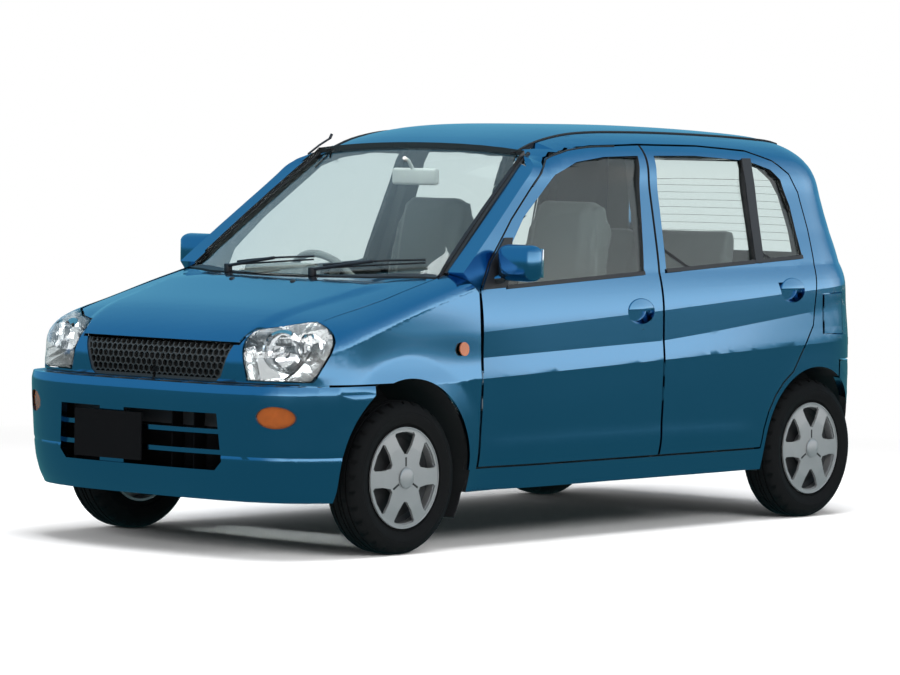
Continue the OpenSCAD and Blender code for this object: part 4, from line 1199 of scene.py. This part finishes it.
class KEI_OT_lamps(bpy.types.Operator):
    """Builds the headlamps, their reflectors and bezels, and the coloured lenses"""

    bl_idname = "kei.lamps"
    bl_label = "Lamps"

    def execute(self, context):
        self.headlamps()
        self.reflectors()
        self.coloured("indicator_lamps", "amber", amber_lens())
        self.coloured("tail_lamps", "lamp_red", red_lens())
        self.rings()
        return {"FINISHED"}

    def headlamps(self):
        lens = new_piece("lamp_lens", pressing("headlamps", nose_form, plain_relief, (1, 2), (22.0, 22.0)))
        shell = copy_of(lens, "lamp_housing")
        kept_faces(lens, lamp_front)
        bezel = copy_of(lens, "lamp_bezel")
        thicken(lens, 3.0)
        wear(lens, glass("clear_lens", (0.96, 0.98, 0.98)))
        smooth(lens)
        seat_on(lens, "body", "lamp_clear", "headlamps")
        edit(bezel)
        bpy.ops.mesh.inset(thickness=9.0 * MM, use_boundary=True, use_even_offset=True)
        bpy.ops.mesh.delete(type="FACE")
        close_edit()
        for vert in bezel.data.vertices:
            vert.co.x += 0.0012
        wear(bezel, black_gloss())
        smooth(bezel)
        seat_on(bezel, "body", "black_plastic")
        kept_faces(shell, lambda place, normal: not lamp_front(place, normal))
        shell.data.flip_normals()
        wear(shell, facet_chrome())
        seat_on(shell, "body", "silver")

    def reflectors(self):
        """Two faceted bowls, each with a bulb shield, in each lamp."""
        pieces = []
        rows = [((1502.0, 520.0, 706.0), 74.0, 20), ((1470.0, 612.0, 716.0), 52.0, 14)]
        for k, (place, radius, facets) in enumerate(rows):
            deselect()
            bpy.ops.mesh.primitive_uv_sphere_add(segments=facets, ring_count=10, radius=radius * MM)
            bowl = made(f"lamp_bowl_{k}")
            kept_faces(bowl, lambda middle, normal: middle.z < 0.25 * radius)
            bowl.data.flip_normals()
            bowl.data.transform(Matrix.Diagonal((1.0, 1.0, 0.55, 1.0)))
            turn = Matrix.Rotation(math.radians(28.0), 4, "Z") @ Matrix.Rotation(math.radians(82.0), 4, "Y")
            bowl.data.transform(Matrix.Translation(Vector(place) * MM) @ turn)
            wear(bowl, facet_chrome())
            deselect()
            bpy.ops.mesh.primitive_uv_sphere_add(segments=20, ring_count=10, radius=radius * 0.2 * MM)
            cap = made(f"lamp_cap_{k}")
            cap.data.transform(Matrix.Translation((Vector(place) + Vector((8.0, 4.0, 0.0))) * MM))
            wear(cap, facet_chrome())
            pieces += [bowl, cap]
        piece = both_sides(join_all("lamp_bowls", pieces), "lamp_bowls")
        seat_on(piece, "body", "silver")

    def coloured(self, node, slot, look):
        piece = copied_solid(node, "lens_" + node)
        wear(piece, look)
        smooth(piece)
        seat_on(piece, "body", slot, node)

    def rings(self):
        """Dark ring in the recess round each front indicator: painted shade of the gap in the recess."""
        turn = np.linspace(0.0, 2.0 * math.pi, 49)
        p = np.array([np.full(49, 1640.0), 588.0 + 61.0 * np.cos(turn), 486.0 + 40.0 * np.sin(turn)])
        p = on_form_along(p, front_bumper_form, 0)
        p[0] -= 3.0
        piece = both_sides(rod("indicator_ring", p.T, 2.6), "indicator_rings")
        wear(piece, black_trim())
        smooth(piece)
        seat_on(piece, "body", "black_plastic")


def lamp_front(place, normal):
    p = np.array(place).reshape(3, 1)
    out = Vector(unit_slope(nose_form, p)[:, 0])
    return abs(depth(nose_form, p)[0]) < 5.0 and normal.dot(out) > 0.5


class KEI_OT_nose(bpy.types.Operator):
    """Backs the grille with a dark sheet of painted shade, and the intake, and hangs the liners in the wheel
    arches
    """

    bl_idname = "kei.nose"
    bl_label = "Grille, intake and arches"

    def execute(self, context):
        # Dark sheet behind the grille: painted shade in the nose behind it
        back = sheet_on("grille_shade_sheet", nose_form,
                        [(1560.0, -340.0, 600.0), (1560.0, 340.0, 600.0), (1560.0, 352.0, 720.0),
                         (1560.0, -352.0, 720.0)], (24, 8), -32.0)
        thicken(back, 2.0)
        wear(back, coated_steel())
        smooth(back)
        seat_on(back, "body", "black_plastic")
        self.intake()
        strip = sheet_on("lamp_sill", nose_form,
                         [(1590.0, 415.0, 586.0), (1455.0, 690.0, 586.0), (1455.0, 690.0, 603.0),
                          (1590.0, 415.0, 603.0)], (18, 3), -0.5)
        strip = both_sides(strip, "lamp_sill")
        wear(strip, paint())
        smooth(strip)
        seat_on(strip, "body", "paint")
        self.seam()
        for k, (x, z, lip, _) in enumerate(ARCHES):
            self.liner(("front", "rear")[k], x, z, lip)
        return {"FINISHED"}

    def seam(self):
        """Dark bar where the bumper's top meets the nose: painted shade of the gap between them."""
        turn = np.radians(np.linspace(-66.0, 66.0, 61))
        start = np.array([NOSE_START + NOSE_LEN * np.cos(turn), 680.0 * np.sin(turn), np.full(61, 594.5)])
        p = on_form_along(start, nose_form, 0)
        seal_and_shade_bar("bumper_gap_shade", p, 2.2)

    def intake(self):
        """Dark duct behind the intake, with two upright ribs."""
        low, high, half = 292.0, 520.0, 402.0
        duct = block("intake_duct", (1560.0, -half, low), (1668.0, half, high), 14.0)
        kept_faces(duct, lambda place, normal: normal.x < 0.5)
        duct.data.flip_normals()
        ribs = [block(f"intake_rib_{k}", (1590.0, y - 2.5, low), (1650.0, y + 2.5, high), 1.0)
                for k, y in enumerate((140.0, 245.0))]
        for part in [duct] + ribs:
            wear(part, duct_black())
        piece = join_all("intake_duct", [duct] + ribs)
        seat_on(piece, "body", "black_plastic")

    def liner(self, name, x, z, lip):
        """Black shell over a wheel, open below, that ends behind the body's skin."""
        inner, outer = (404.0, 706.0) if name == "front" else (549.0, 706.0)
        deselect()
        bpy.ops.mesh.primitive_cylinder_add(vertices=72, radius=(lip + 9.0) * MM, depth=(outer - inner) * MM,
                                            end_fill_type="NOTHING", rotation=(math.radians(90.0), 0.0, 0.0),
                                            location=(x * MM, (outer + inner) / 2.0 * MM, z * MM))
        piece = made("arch_liner_" + name)
        settle(piece)
        low_ahead, low_behind = (300.0, 150.0) if name == "front" else (190.0, 360.0)
        kept_faces(piece, lambda place, normal: place.z > (low_ahead if place.x > x else low_behind))
        form = front_form if name == "front" else rear_bumper_form
        p = spots(piece.data.vertices)
        skin = on_form_along(np.array([p[0], np.full(len(p[0]), outer), p[2]]), form, 1)[1] - 14.0
        for vert, y in zip(piece.data.vertices, np.clip(p[1], inner, np.maximum(skin, inner))):
            vert.co.y = y * MM
        piece.data.flip_normals()
        thicken(piece, 2.5)
        piece = both_sides(piece, "arch_liner_" + name)
        wear(piece, coated_steel())
        smooth(piece)
        seat_on(piece, "body", "steel")


class KEI_OT_cabin(bpy.types.Operator):
    """Furnishes the cabin that shows through the glass"""

    bl_idname = "kei.cabin"
    bl_label = "Cabin"

    DASH = [[712.0, 660.0], [712.0, 900.0], [672.0, 922.0], [610.0, 918.0], [566.0, 892.0], [556.0, 850.0],
            [574.0, 800.0], [566.0, 730.0], [610.0, 662.0]]
    HOOD = [[662.0, 900.0], [648.0, 958.0], [600.0, 972.0], [556.0, 958.0], [548.0, 944.0], [570.0, 900.0]]

    def execute(self, context):
        dash = profile_bar("dash_pad", self.DASH, -596.0, 596.0, 14.0)
        hood = profile_bar("dial_hood", self.HOOD, -500.0, -200.0, 26.0)
        wear(dash, cabin_trim())
        wear(hood, cabin_trim())
        piece = join_all("dash_pad", [dash, hood])
        smooth(piece, 40.0)
        seat_on(piece, "body", "black_plastic", "dashboard")
        self.wheel()
        self.mirror()
        self.shelf()
        return {"FINISHED"}

    def wheel(self):
        piece = copied_solid("steering_wheel", "helm")
        wear(piece, cabin_trim())
        smooth(piece, 40.0)
        seat_on(piece, "steering_wheel", "black_plastic", "steering_wheel")

    def mirror(self):
        head = block("cabin_mirror", (250.0, -110.0, 1262.0), (276.0, 110.0, 1324.0), 12.0, 5)
        bend = [(266.0, -10.0, 1318.0), (292.0, -10.0, 1352.0), (318.0, -10.0, 1364.0)]
        stem = rod("cabin_mirror_stem", bend, 7.0)
        for part in (head, stem):
            wear(part, pale_lining())
        piece = join_all("cabin_mirror", [head, stem])
        smooth(piece, 40.0)
        seat_on(piece, "body", "black_plastic", "inner_mirror")

    def shelf(self):
        """Cover over the boot, behind the rear bench."""
        piece = block("parcel_shelf", (-1470.0, -520.0, 862.0), (-1092.0, 520.0, 880.0), 5.0)
        wear(piece, cabin_trim())
        smooth(piece)
        seat_on(piece, "body", "fabric")


class KEI_OT_seats(bpy.types.Operator):
    """Sews the front seats and the rear bench"""

    bl_idname = "kei.seats"
    bl_label = "Seats"

    VOXEL = 0.017
    SWELL = 0.018
    PRESSURE = 4.0
    FRAMES = 20
    CUSHION = [[424.0, 360.0], [432.0, 500.0], [398.0, 545.0], [180.0, 522.0], [-20.0, 506.0], [-70.0, 470.0],
               [-60.0, 380.0]]
    BACK = [[-52.0, 500.0], [-112.0, 760.0], [-172.0, 1090.0], [-196.0, 1216.0], [-226.0, 1232.0],
            [-262.0, 1222.0], [-284.0, 1110.0], [-210.0, 760.0], [-140.0, 500.0]]
    BENCH = [[-446.0, 270.0], [-440.0, 505.0], [-478.0, 524.0], [-840.0, 488.0], [-900.0, 470.0],
             [-918.0, 450.0], [-918.0, 300.0]]
    BENCH_BACK = [[-866.0, 500.0], [-1008.0, 1100.0], [-1030.0, 1114.0], [-1074.0, 1112.0], [-1068.0, 1060.0],
                  [-978.0, 460.0], [-900.0, 470.0]]

    def execute(self, context):
        pads = []
        for name, outline, taper in (("cushion", self.CUSHION, 0.0), ("back", self.BACK, 0.30)):
            pads.append(self.pad(name, outline, -218.0, 218.0, taper))
        seat = join_all("seat_pattern", pads)
        for side, letter in LEFT_RIGHT:
            piece = copy_of(seat, "front_seat_" + letter, Matrix.Translation((0.0, side * 0.330, 0.0)))
            self.upholster(piece, "front_seats")
        bpy.data.objects.remove(seat)
        bench = [self.pad("bench", self.BENCH, -505.0, 505.0, 0.0),
                 self.pad("bench_back", self.BENCH_BACK, -505.0, 505.0, 0.06)]
        self.upholster(join_all("rear_bench", bench), "rear_seat")
        return {"FINISHED"}

    def upholster(self, piece, node):
        wear(piece, seat_cloth())
        smooth(piece, 60.0)
        seat_on(piece, "body", "fabric", node)

    def pad(self, name, outline, low_y, high_y, taper):
        """Closed pad from a side outline: remeshed, swelled as cloth and seamed."""
        piece = profile_bar(name, outline, low_y, high_y, 26.0)
        self.draw_in(piece, taper)
        finish_with(piece, "REMESH", mode="VOXEL", voxel_size=self.VOXEL)
        self.swell(piece)
        self.seam(piece, (low_y, high_y))
        return piece

    def draw_in(self, piece, taper):
        """Narrows the pad towards its top."""
        heights = [v.co.z for v in piece.data.vertices]
        low, high = min(heights), max(heights)
        for vert in piece.data.vertices:
            rise = (vert.co.z - low) / (high - low)
            vert.co.y *= 1.0 - taper * rise ** 3

    def swell(self, piece):
        """Blows the pad up as cloth, no further than the cap."""
        before = [v.co.copy() for v in piece.data.vertices]
        take(piece)
        cloth = piece.modifiers.new("Cloth", "CLOTH")
        cloth.settings.use_pressure = True
        cloth.settings.uniform_pressure_force = self.PRESSURE
        cloth.settings.effector_weights.gravity = 0.0
        cloth.point_cache.frame_start = 1
        cloth.point_cache.frame_end = self.FRAMES
        scene = bpy.context.scene
        for number in range(1, self.FRAMES + 1):
            scene.frame_set(number)
        bpy.ops.object.modifier_apply(modifier=cloth.name)
        scene.frame_set(1)
        for vert, start in zip(piece.data.vertices, before):
            moved = vert.co - start
            if moved.length > self.SWELL:
                vert.co = start + moved * (self.SWELL / moved.length)

    def seam(self, piece, reach):
        """Pulls the cloth in along two sewn lines that part the bolsters from the middle."""
        line = (reach[1] - reach[0]) / 2.0 * 0.62 * MM
        if reach[1] > 400.0:
            line = 0.012
        for vert in piece.data.vertices:
            near = math.exp(-(((abs(vert.co.y) - line) / 0.016) ** 2))
            vert.co -= vert.normal * (0.011 * near)


class KEI_OT_trim(bpy.types.Operator):
    """Adds the handles, wipers, mirrors, gutters and small fittings"""

    bl_idname = "kei.trim"
    bl_label = "Trim and fittings"

    def execute(self, context):
        for side, letter in LEFT_RIGHT:
            self.mirror(side, letter)
            self.keyhole(side, letter)
            for end, (x, z) in HANDLES.items():
                self.handle("door_" + end + letter, x, z, side)
            self.gutter(side, letter)
            self.sill(side, letter)
        self.wipers()
        self.nozzles()
        self.antenna()
        return {"FINISHED"}

    def mirror(self, side, letter):
        """Smooth housing with its looking glass and black foot."""
        node = "mirror_left" if side > 0.0 else "mirror_right"
        body = "door_f" + letter
        housing = copied_solid(node, "mirror_housing_" + letter)
        inner = side * 0.700
        for vert in housing.data.vertices:
            vert.co.y = inner + (vert.co.y - inner) * 1.2
        for face in housing.data.polygons:
            face.material_index = int(face.center.z < 0.949 and abs(face.center.y) < 0.745)
        wear(housing, paint(), black_trim())
        smooth(housing, 50.0)
        seat_on(housing, body, "paint", node)
        pane = block("mirror_pane_" + letter, (540.8, 722.0, 952.0), (546.8, 860.0, 1054.0), 18.0, 5)
        to_side(pane, side)
        wear(pane, chrome())
        smooth(pane)
        seat_on(pane, body, "silver")

    def handle(self, door, x, z, side):
        """Flap over the upper half of the handle's bowl."""
        turn = np.linspace(0.0, math.pi, 27)
        p = np.array([x + 73.0 * np.cos(turn), np.full(27, side * 720.0), z + 2.0 + 43.0 * np.sin(turn)])
        p = on_form_along(p, cabin_form, 1)
        p = p + unit_slope(cabin_form, p) * (side_relief(p) + 3.0)
        deselect()
        bpy.ops.mesh.primitive_circle_add(vertices=27, radius=1.0, fill_type="NGON")
        piece = made("handle_" + door)
        for vert, place in zip(piece.data.vertices, p.T):
            vert.co = Vector(place) * MM
        edit(piece)
        bpy.ops.mesh.extrude_region_move(TRANSFORM_OT_translate={"value": (0.0, -side * 0.011, 0.0)})
        bpy.ops.mesh.select_all(action="SELECT")
        bpy.ops.mesh.normals_make_consistent(inside=False)
        close_edit()
        round_over(piece, 3.5, 40.0)
        wear(piece, paint())
        smooth(piece, 40.0)
        seat_on(piece, door, "paint")

    def keyhole(self, side, letter):
        """Round lock with its slit, under the front handle; the slit is a black block, painted shade of the
        key slot.
        """
        p = on_form(np.array([[-183.0], [side * 720.0], [750.0]]), cabin_form)[:, 0]
        deselect()
        bpy.ops.mesh.primitive_cylinder_add(vertices=32, radius=0.0105, depth=0.006,
                                            rotation=(math.radians(90.0), 0.0, 0.0), location=Vector(p) * MM)
        piece = made("door_lock_" + letter)
        settle(piece)
        finish_with(piece, "BEVEL", width=0.0016, segments=3)
        half = np.array([5.0, 4.2, 1.0])
        slit_shade = block("door_lock_slit_shade", p - half, p + half, 0.4)
        wear(piece, chrome(), black_trim())
        wear(slit_shade, chrome(), black_trim())
        # Black slit: painted shade of the key slot
        for face in slit_shade.data.polygons:
            face.material_index = 1
        piece = join_all("door_lock_" + letter, [piece, slit_shade])
        smooth(piece)
        seat_on(piece, "door_f" + letter, "silver")

    def gutter(self, side, letter):
        """Black moulding in the roof ditch, down the windscreen pillar."""
        x = np.concatenate([np.linspace(-1330.0, 200.0, 40), np.linspace(238.0, 262.0, 3)])
        p = np.array([x, np.full(43, side * 459.0), np.full(43, 1450.0)])
        p = on_form_along(p, cabin_form, 2)
        p[2] += 1.2
        seal_and_shade_bar("roof_moulding_" + letter, p, 4.2)

    def sill(self, side, letter):
        """Black edge under the sill."""
        piece = block("sill_edge_" + letter, (-900.0, 604.0, 196.0), (700.0, 640.0, 206.0), 3.0)
        to_side(piece, side)
        wear(piece, coated_steel())
        smooth(piece)
        seat_on(piece, "body", "black_plastic")

    def wipers(self):
        """Two arms and blades that lie on the foot of the windscreen."""
        parts = []
        for start in (-270.0, 170.0):
            y = np.linspace(start, start + 360.0, 25)
            z = np.linspace(962.0, 990.0, 25)
            blade = screen_points(y, z, 10.0)
            bow = screen_points(y, z + 4.0, 18.0 + 5.0 * np.sin(np.linspace(0.0, math.pi, 25)))
            parts.append(rod("wiper_rubber", blade.T, 3.4, 1))
            parts.append(rod("wiper_bow", bow.T, 4.2, 1))
            arm_y = np.linspace(start - 20.0, start + 190.0, 12)
            arm_z = np.linspace(944.0, 979.0, 12)
            parts.append(rod("wiper_arm", screen_points(arm_y, arm_z, 25.0).T, 6.0, 2))
            pivot = screen_points(np.array([start - 20.0]), np.array([944.0]), 14.0)[:, 0]
            deselect()
            bpy.ops.mesh.primitive_cylinder_add(vertices=24, radius=0.015, depth=0.034,
                                                location=Vector(pivot) * MM)
            knob = made("wiper_pivot")
            settle(knob)
            finish_with(knob, "BEVEL", width=0.004, segments=3)
            parts.append(knob)
        for part in parts:
            wear(part, black_trim())
        piece = join_all("wiper_set", parts)
        smooth(piece, 40.0)
        seat_on(piece, "body", "black_plastic", "wipers")

    def nozzles(self):
        """Two washer nozzles on the bonnet."""
        parts = []
        for y in (-150.0, 150.0):
            p = on_form_along(np.array([[1070.0], [y], [930.0]]), nose_form, 2)[:, 0]
            p[2] += 3.0
            deselect()
            bpy.ops.mesh.primitive_uv_sphere_add(segments=20, ring_count=10, radius=0.010,
                                                 location=Vector(p) * MM)
            jet = made("washer_jet")
            jet.scale = (1.3, 1.0, 0.8)
            settle(jet)
            parts.append(jet)
        for part in parts:
            wear(part, black_trim())
        piece = join_all("washer_jets", parts)
        smooth(piece)
        seat_on(piece, "bonnet", "black_plastic")

    def antenna(self):
        """Folded rod aerial on the far windscreen pillar."""
        foot = (300.0, -512.0, 1372.0)
        base = rod("aerial", [foot, (246.0, -506.0, 1406.0), (196.0, -499.0, 1432.0)], 4.0)
        tip = rod("aerial_tip", [(196.0, -499.0, 1432.0), (186.0, -499.0, 1448.0)], 5.5)
        for part in (base, tip):
            wear(part, black_trim())
        piece = join_all("aerial", [base, tip])
        smooth(piece, 50.0)
        seat_on(piece, "body", "black_plastic")


def screen_points(y, z, lift):
    """Points on the windscreen, lifted forwards off it."""
    bow = curve(SCREEN_BOW, z)
    x = SCREEN_FOOT[0] - (z - SCREEN_FOOT[1]) * SCREEN_RAKE - bow * (np.abs(y) / 600.0) ** 2.2
    return np.array([x + lift * 0.55, y, z + lift * 0.83])


class KEI_OT_finishes(bpy.types.Operator):
    """Finishes the solids that stay as they are"""

    bl_idname = "kei.finishes"
    bl_label = "Plain finishes"

    def execute(self, context):
        looks = {
            black_trim: ("cowl_panel",),
            duct_black: ("front_plate",),
            grille_grey: ("grille",),
            coated_steel: ("floor_pan", "rear_floor_pan", "bulkhead", "engine_rails", "engine", "exhaust",
                           "front_subframe", "knuckle_left", "knuckle_right", "rear_axle"),
            silver_paint: ("wheel_fl", "wheel_fr", "wheel_rl", "wheel_rr"),
        }
        for look, names in looks.items():
            for name in names:
                wear(NODES[name], look())
        return {"FINISHED"}


class KEI_OT_stage(bpy.types.Operator):
    """Sets the floor, the soft light and the camera"""

    bl_idname = "kei.stage"
    bl_label = "Studio"

    EYE = (11.6183, 10.1826, 1.3998)
    AZIMUTH = 0.72446
    ELEVATION = 0.04631
    ROLL = 0.01545
    LENS = 165.15
    SHIFT = (0.0108, 0.0027)
    # Painted reflections, seen by glossy rays alone: the card under the car as painted shade, a bluish
    # ceiling, the horizon, and bands of height and colour with a strip brighter than white
    # Painted shade: colour of the card under the car, seen only in reflections
    PAINTED_SHADE_CARD = (0.045, 0.17, 0.19)
    PAINTED_CEILING = (0.11, 0.37, 0.55)
    PAINTED_HORIZON = (0.06, 0.22, 0.25)
    PAINTED_AHEAD_SKY = [(0.0, PAINTED_HORIZON), (0.05, PAINTED_CEILING), (1.0, PAINTED_CEILING)]
    PAINTED_SIDE_SKY = [(0.0, PAINTED_HORIZON), (0.03, (1.55, 1.5, 1.5)), (0.13, (1.3, 1.3, 1.3)),
                (0.30, (0.70, 0.82, 0.90)), (0.55, (0.35, 0.55, 0.70)), (1.0, PAINTED_CEILING)]

    def execute(self, context):
        self.floor(context)
        self.flags()
        self.world(context)
        self.lamps(context)
        self.camera(context)
        context.scene.view_settings.view_transform = "Standard"
        return {"FINISHED"}

    def floor(self, context):
        deselect()
        bpy.ops.mesh.primitive_circle_add(vertices=96, radius=60.0, fill_type="NGON")
        floor = context.object
        floor.name = "studio_floor"
        material = finish("floor_paper", context.scene.kei_stage.floor_colour, 0.9, drift=0.004)
        wear(floor, material)
        tree = material.node_tree
        bsdf = tree.nodes["Principled BSDF"]
        bsdf.inputs["Specular IOR Level"].default_value = 0.0
        self.whiten(tree, bsdf)

    def whiten(self, tree, bsdf):
        """Lets the paper turn to plain white away from the car, where the eye and its reflections see it."""
        place = tree.nodes.new("ShaderNodeTexCoord")
        far = tree.nodes.new("ShaderNodeVectorMath")
        far.operation = "LENGTH"
        spread = node_of(tree, "ShaderNodeMapRange")
        spread.inputs["From Min"].default_value = 2.6
        spread.inputs["From Max"].default_value = 5.5
        path = tree.nodes.new("ShaderNodeLightPath")
        seen = tree.nodes.new("ShaderNodeMath")
        seen.operation = "SUBTRACT"
        seen.inputs[0].default_value = 1.0
        share = tree.nodes.new("ShaderNodeMath")
        share.operation = "MULTIPLY"
        white = node_of(tree, "ShaderNodeEmission", Strength=1.0)
        mix = tree.nodes.new("ShaderNodeMixShader")
        end = tree.nodes["Material Output"]
        link = tree.links.new
        link(place.outputs["Object"], far.inputs[0])
        link(far.outputs["Value"], spread.inputs["Value"])
        link(path.outputs["Is Diffuse Ray"], seen.inputs[1])
        link(spread.outputs["Result"], share.inputs[0])
        link(seen.outputs["Value"], share.inputs[1])
        link(share.outputs["Value"], mix.inputs["Fac"])
        link(bsdf.outputs["BSDF"], mix.inputs[1])
        link(white.outputs["Emission"], mix.inputs[2])
        link(mix.outputs["Shader"], end.inputs["Surface"])

    def flags(self):
        """Dark card under the car that only its reflections see: painted shade in the reflections of the
        lower body.
        """
        deselect()
        bpy.ops.mesh.primitive_circle_add(vertices=96, radius=58.0, fill_type="NGON",
                                          location=(0.0, 0.0, 0.002))
        self.card(made("painted_shade_card"), self.PAINTED_SHADE_CARD)

    def card(self, card, colour):
        material = bpy.data.materials.new(card.name)
        material.use_nodes = True
        tree = material.node_tree
        # Fixed glow, not lit: the card paints shade straight into the reflections
        glow = node_of(tree, "ShaderNodeEmission", Strength=1.0)
        glow.inputs["Color"].default_value = (*colour, 1.0)
        path = tree.nodes.new("ShaderNodeLightPath")
        clear = tree.nodes.new("ShaderNodeBsdfTransparent")
        mix = tree.nodes.new("ShaderNodeMixShader")
        tree.links.new(path.outputs["Is Transmission Ray"], mix.inputs["Fac"])
        tree.links.new(glow.outputs["Emission"], mix.inputs[1])
        tree.links.new(clear.outputs["BSDF"], mix.inputs[2])
        tree.links.new(mix.outputs["Shader"], tree.nodes["Material Output"].inputs["Surface"])
        wear(card, material)
        card.visible_camera = False
        card.visible_diffuse = False
        card.visible_shadow = False
        card.visible_transmission = False

    def world(self, context):
        world = bpy.data.worlds.new("studio_air")
        context.scene.world = world
        world.use_nodes = True
        tree = world.node_tree
        tree.nodes.clear()
        path = tree.nodes.new("ShaderNodeLightPath")
        seen = tree.nodes.new("ShaderNodeMath")
        seen.operation = "MAXIMUM"
        also = tree.nodes.new("ShaderNodeMath")
        also.operation = "MAXIMUM"
        light = node_of(tree, "ShaderNodeBackground", Strength=context.scene.kei_stage.ambient)
        light.inputs["Color"].default_value = (1.0, 1.0, 1.0, 1.0)
        backdrop = node_of(tree, "ShaderNodeBackground", Strength=1.0)
        backdrop.inputs["Color"].default_value = (1.0, 1.0, 1.0, 1.0)
        mix = tree.nodes.new("ShaderNodeMixShader")
        end = tree.nodes.new("ShaderNodeOutputWorld")
        self.painted_sky(tree, path, backdrop)
        tree.links.new(path.outputs["Is Camera Ray"], seen.inputs[0])
        tree.links.new(path.outputs["Is Glossy Ray"], seen.inputs[1])
        tree.links.new(seen.outputs["Value"], also.inputs[0])
        tree.links.new(path.outputs["Is Transmission Ray"], also.inputs[1])
        tree.links.new(also.outputs["Value"], mix.inputs["Fac"])
        tree.links.new(light.outputs["Background"], mix.inputs[1])
        tree.links.new(backdrop.outputs["Background"], mix.inputs[2])
        tree.links.new(mix.outputs["Shader"], end.inputs["Surface"])

    def painted_sky(self, tree, path, backdrop):
        """Painted reflections for glossy rays alone: a light strip beside the car, brighter than white, and a
        duller bluish ceiling.
        """
        link = tree.links.new
        place = tree.nodes.new("ShaderNodeTexCoord")
        split = tree.nodes.new("ShaderNodeSeparateXYZ")
        link(place.outputs["Generated"], split.inputs["Vector"])
        beside = node_of(tree, "ShaderNodeMapRange")
        beside.inputs["To Max"].default_value = 1.0
        beside.inputs["From Min"].default_value = 0.05
        beside.inputs["From Max"].default_value = 0.4
        link(split.outputs["Y"], beside.inputs["Value"])
        ahead = self.bands(tree, split, self.PAINTED_AHEAD_SKY)
        side = self.bands(tree, split, self.PAINTED_SIDE_SKY)
        round_about = self.blend(tree, ahead, side, beside.outputs["Result"])
        mirrored = tree.nodes.new("ShaderNodeMath")
        mirrored.operation = "SUBTRACT"
        mirrored.use_clamp = True
        link(path.outputs["Is Glossy Ray"], mirrored.inputs[0])
        link(path.outputs["Is Transmission Ray"], mirrored.inputs[1])
        white = node_of(tree, "ShaderNodeRGB")
        white.outputs["Color"].default_value = (1.0, 1.0, 1.0, 1.0)
        shown = self.blend(tree, white.outputs["Color"], round_about, mirrored.outputs["Value"])
        link(shown, backdrop.inputs["Color"])

    def bands(self, tree, split, rows):
        """Colour by height over the horizon."""
        node = tree.nodes.new("ShaderNodeValToRGB")
        stops = node.color_ramp.elements
        while len(stops) < len(rows):
            stops.new(0.5)
        for stop, (height, colour) in zip(stops, rows):
            stop.position = height
            stop.color = (*colour, 1.0)
        tree.links.new(split.outputs["Z"], node.inputs["Fac"])
        return node.outputs["Color"]

    def blend(self, tree, first, second, share):
        """Mix of two colours that may pass 1."""
        node = tree.nodes.new("ShaderNodeMix")
        node.data_type = "RGBA"
        node.clamp_result = False
        ends = [socket for socket in node.inputs if socket.type == "RGBA"]
        tree.links.new(first, ends[0])
        tree.links.new(second, ends[1])
        tree.links.new(share, node.inputs["Factor"])
        return next(socket for socket in node.outputs if socket.type == "RGBA")

    def lamps(self, context):
        power = context.scene.kei_stage.key_power
        rows = [
            ("softbox_over", (0.3, 0.6, 5.2), (0.0, 0.0, 0.6), (5.5, 3.2), power),
            ("softbox_side", (1.0, 6.5, 3.6), (0.0, 0.0, 0.7), (6.0, 2.2), power * 0.55),
            ("softbox_front", (7.0, -1.0, 3.2), (1.2, 0.0, 0.6), (3.0, 2.0), power * 0.3),
        ]
        for name, place, aim, size, strength in rows:
            deselect()
            bpy.ops.object.light_add(type="AREA", location=place)
            lamp = context.object
            lamp.name = name
            lamp.data.shape = "RECTANGLE"
            lamp.data.size = size[0]
            lamp.data.size_y = size[1]
            lamp.data.energy = strength
            lamp.visible_glossy = False
            aim_at = Vector(aim) - Vector(place)
            lamp.rotation_euler = aim_at.to_track_quat("-Z", "Y").to_euler()

    def camera(self, context):
        deselect()
        bpy.ops.object.camera_add(location=self.EYE)
        camera = context.object
        camera.name = "photo_camera"
        az, el, roll = self.AZIMUTH, self.ELEVATION, self.ROLL
        ahead = Vector((-math.cos(el) * math.cos(az), -math.cos(el) * math.sin(az), -math.sin(el)))
        right = ahead.cross(Vector((0.0, 0.0, 1.0))).normalized()
        up = right.cross(ahead)
        turned = right * math.cos(roll) + up * math.sin(roll)
        upright = up * math.cos(roll) - right * math.sin(roll)
        basis = Matrix((turned, upright, -ahead)).transposed().to_4x4()
        camera.matrix_world = Matrix.Translation(self.EYE) @ basis
        camera.data.sensor_width = 36.0
        camera.data.lens = self.LENS
        camera.data.shift_x, camera.data.shift_y = self.SHIFT
        camera.data.clip_end = 200.0
        context.scene.camera = camera


class KEI_PT_panel(bpy.types.Panel):
    """Sidebar with the car's pieces in making order"""

    bl_label = "Kei hatchback"
    bl_idname = "KEI_PT_panel"
    bl_space_type = "VIEW_3D"
    bl_region_type = "UI"
    bl_category = "Kei hatchback"

    def draw(self, context):
        column = self.layout.column()
        for settings in (context.scene.kei_paint, context.scene.kei_stage):
            for name in settings.__annotations__:
                column.prop(settings, name)
        for step in STEPS:
            column.operator(step.bl_idname)


STEPS = (KEI_OT_panels, KEI_OT_glazing, KEI_OT_tyres, KEI_OT_wheels, KEI_OT_lamps, KEI_OT_nose, KEI_OT_cabin,
         KEI_OT_seats, KEI_OT_trim, KEI_OT_finishes, KEI_OT_stage)
SETTINGS = (KeiPaint, KeiStage)


def register():
    for cls in SETTINGS + STEPS + (KEI_PT_panel,):
        bpy.utils.register_class(cls)
    bpy.types.Scene.kei_paint = PointerProperty(type=KeiPaint)
    bpy.types.Scene.kei_stage = PointerProperty(type=KeiStage)


def unregister():
    del bpy.types.Scene.kei_stage
    del bpy.types.Scene.kei_paint
    for cls in reversed(SETTINGS + STEPS + (KEI_PT_panel,)):
        bpy.utils.unregister_class(cls)


def main():
    register()
    for step in STEPS:
        family, name = step.bl_idname.split(".")
        getattr(getattr(bpy.ops, family), name)()


if __name__ == "__main__":
    main()
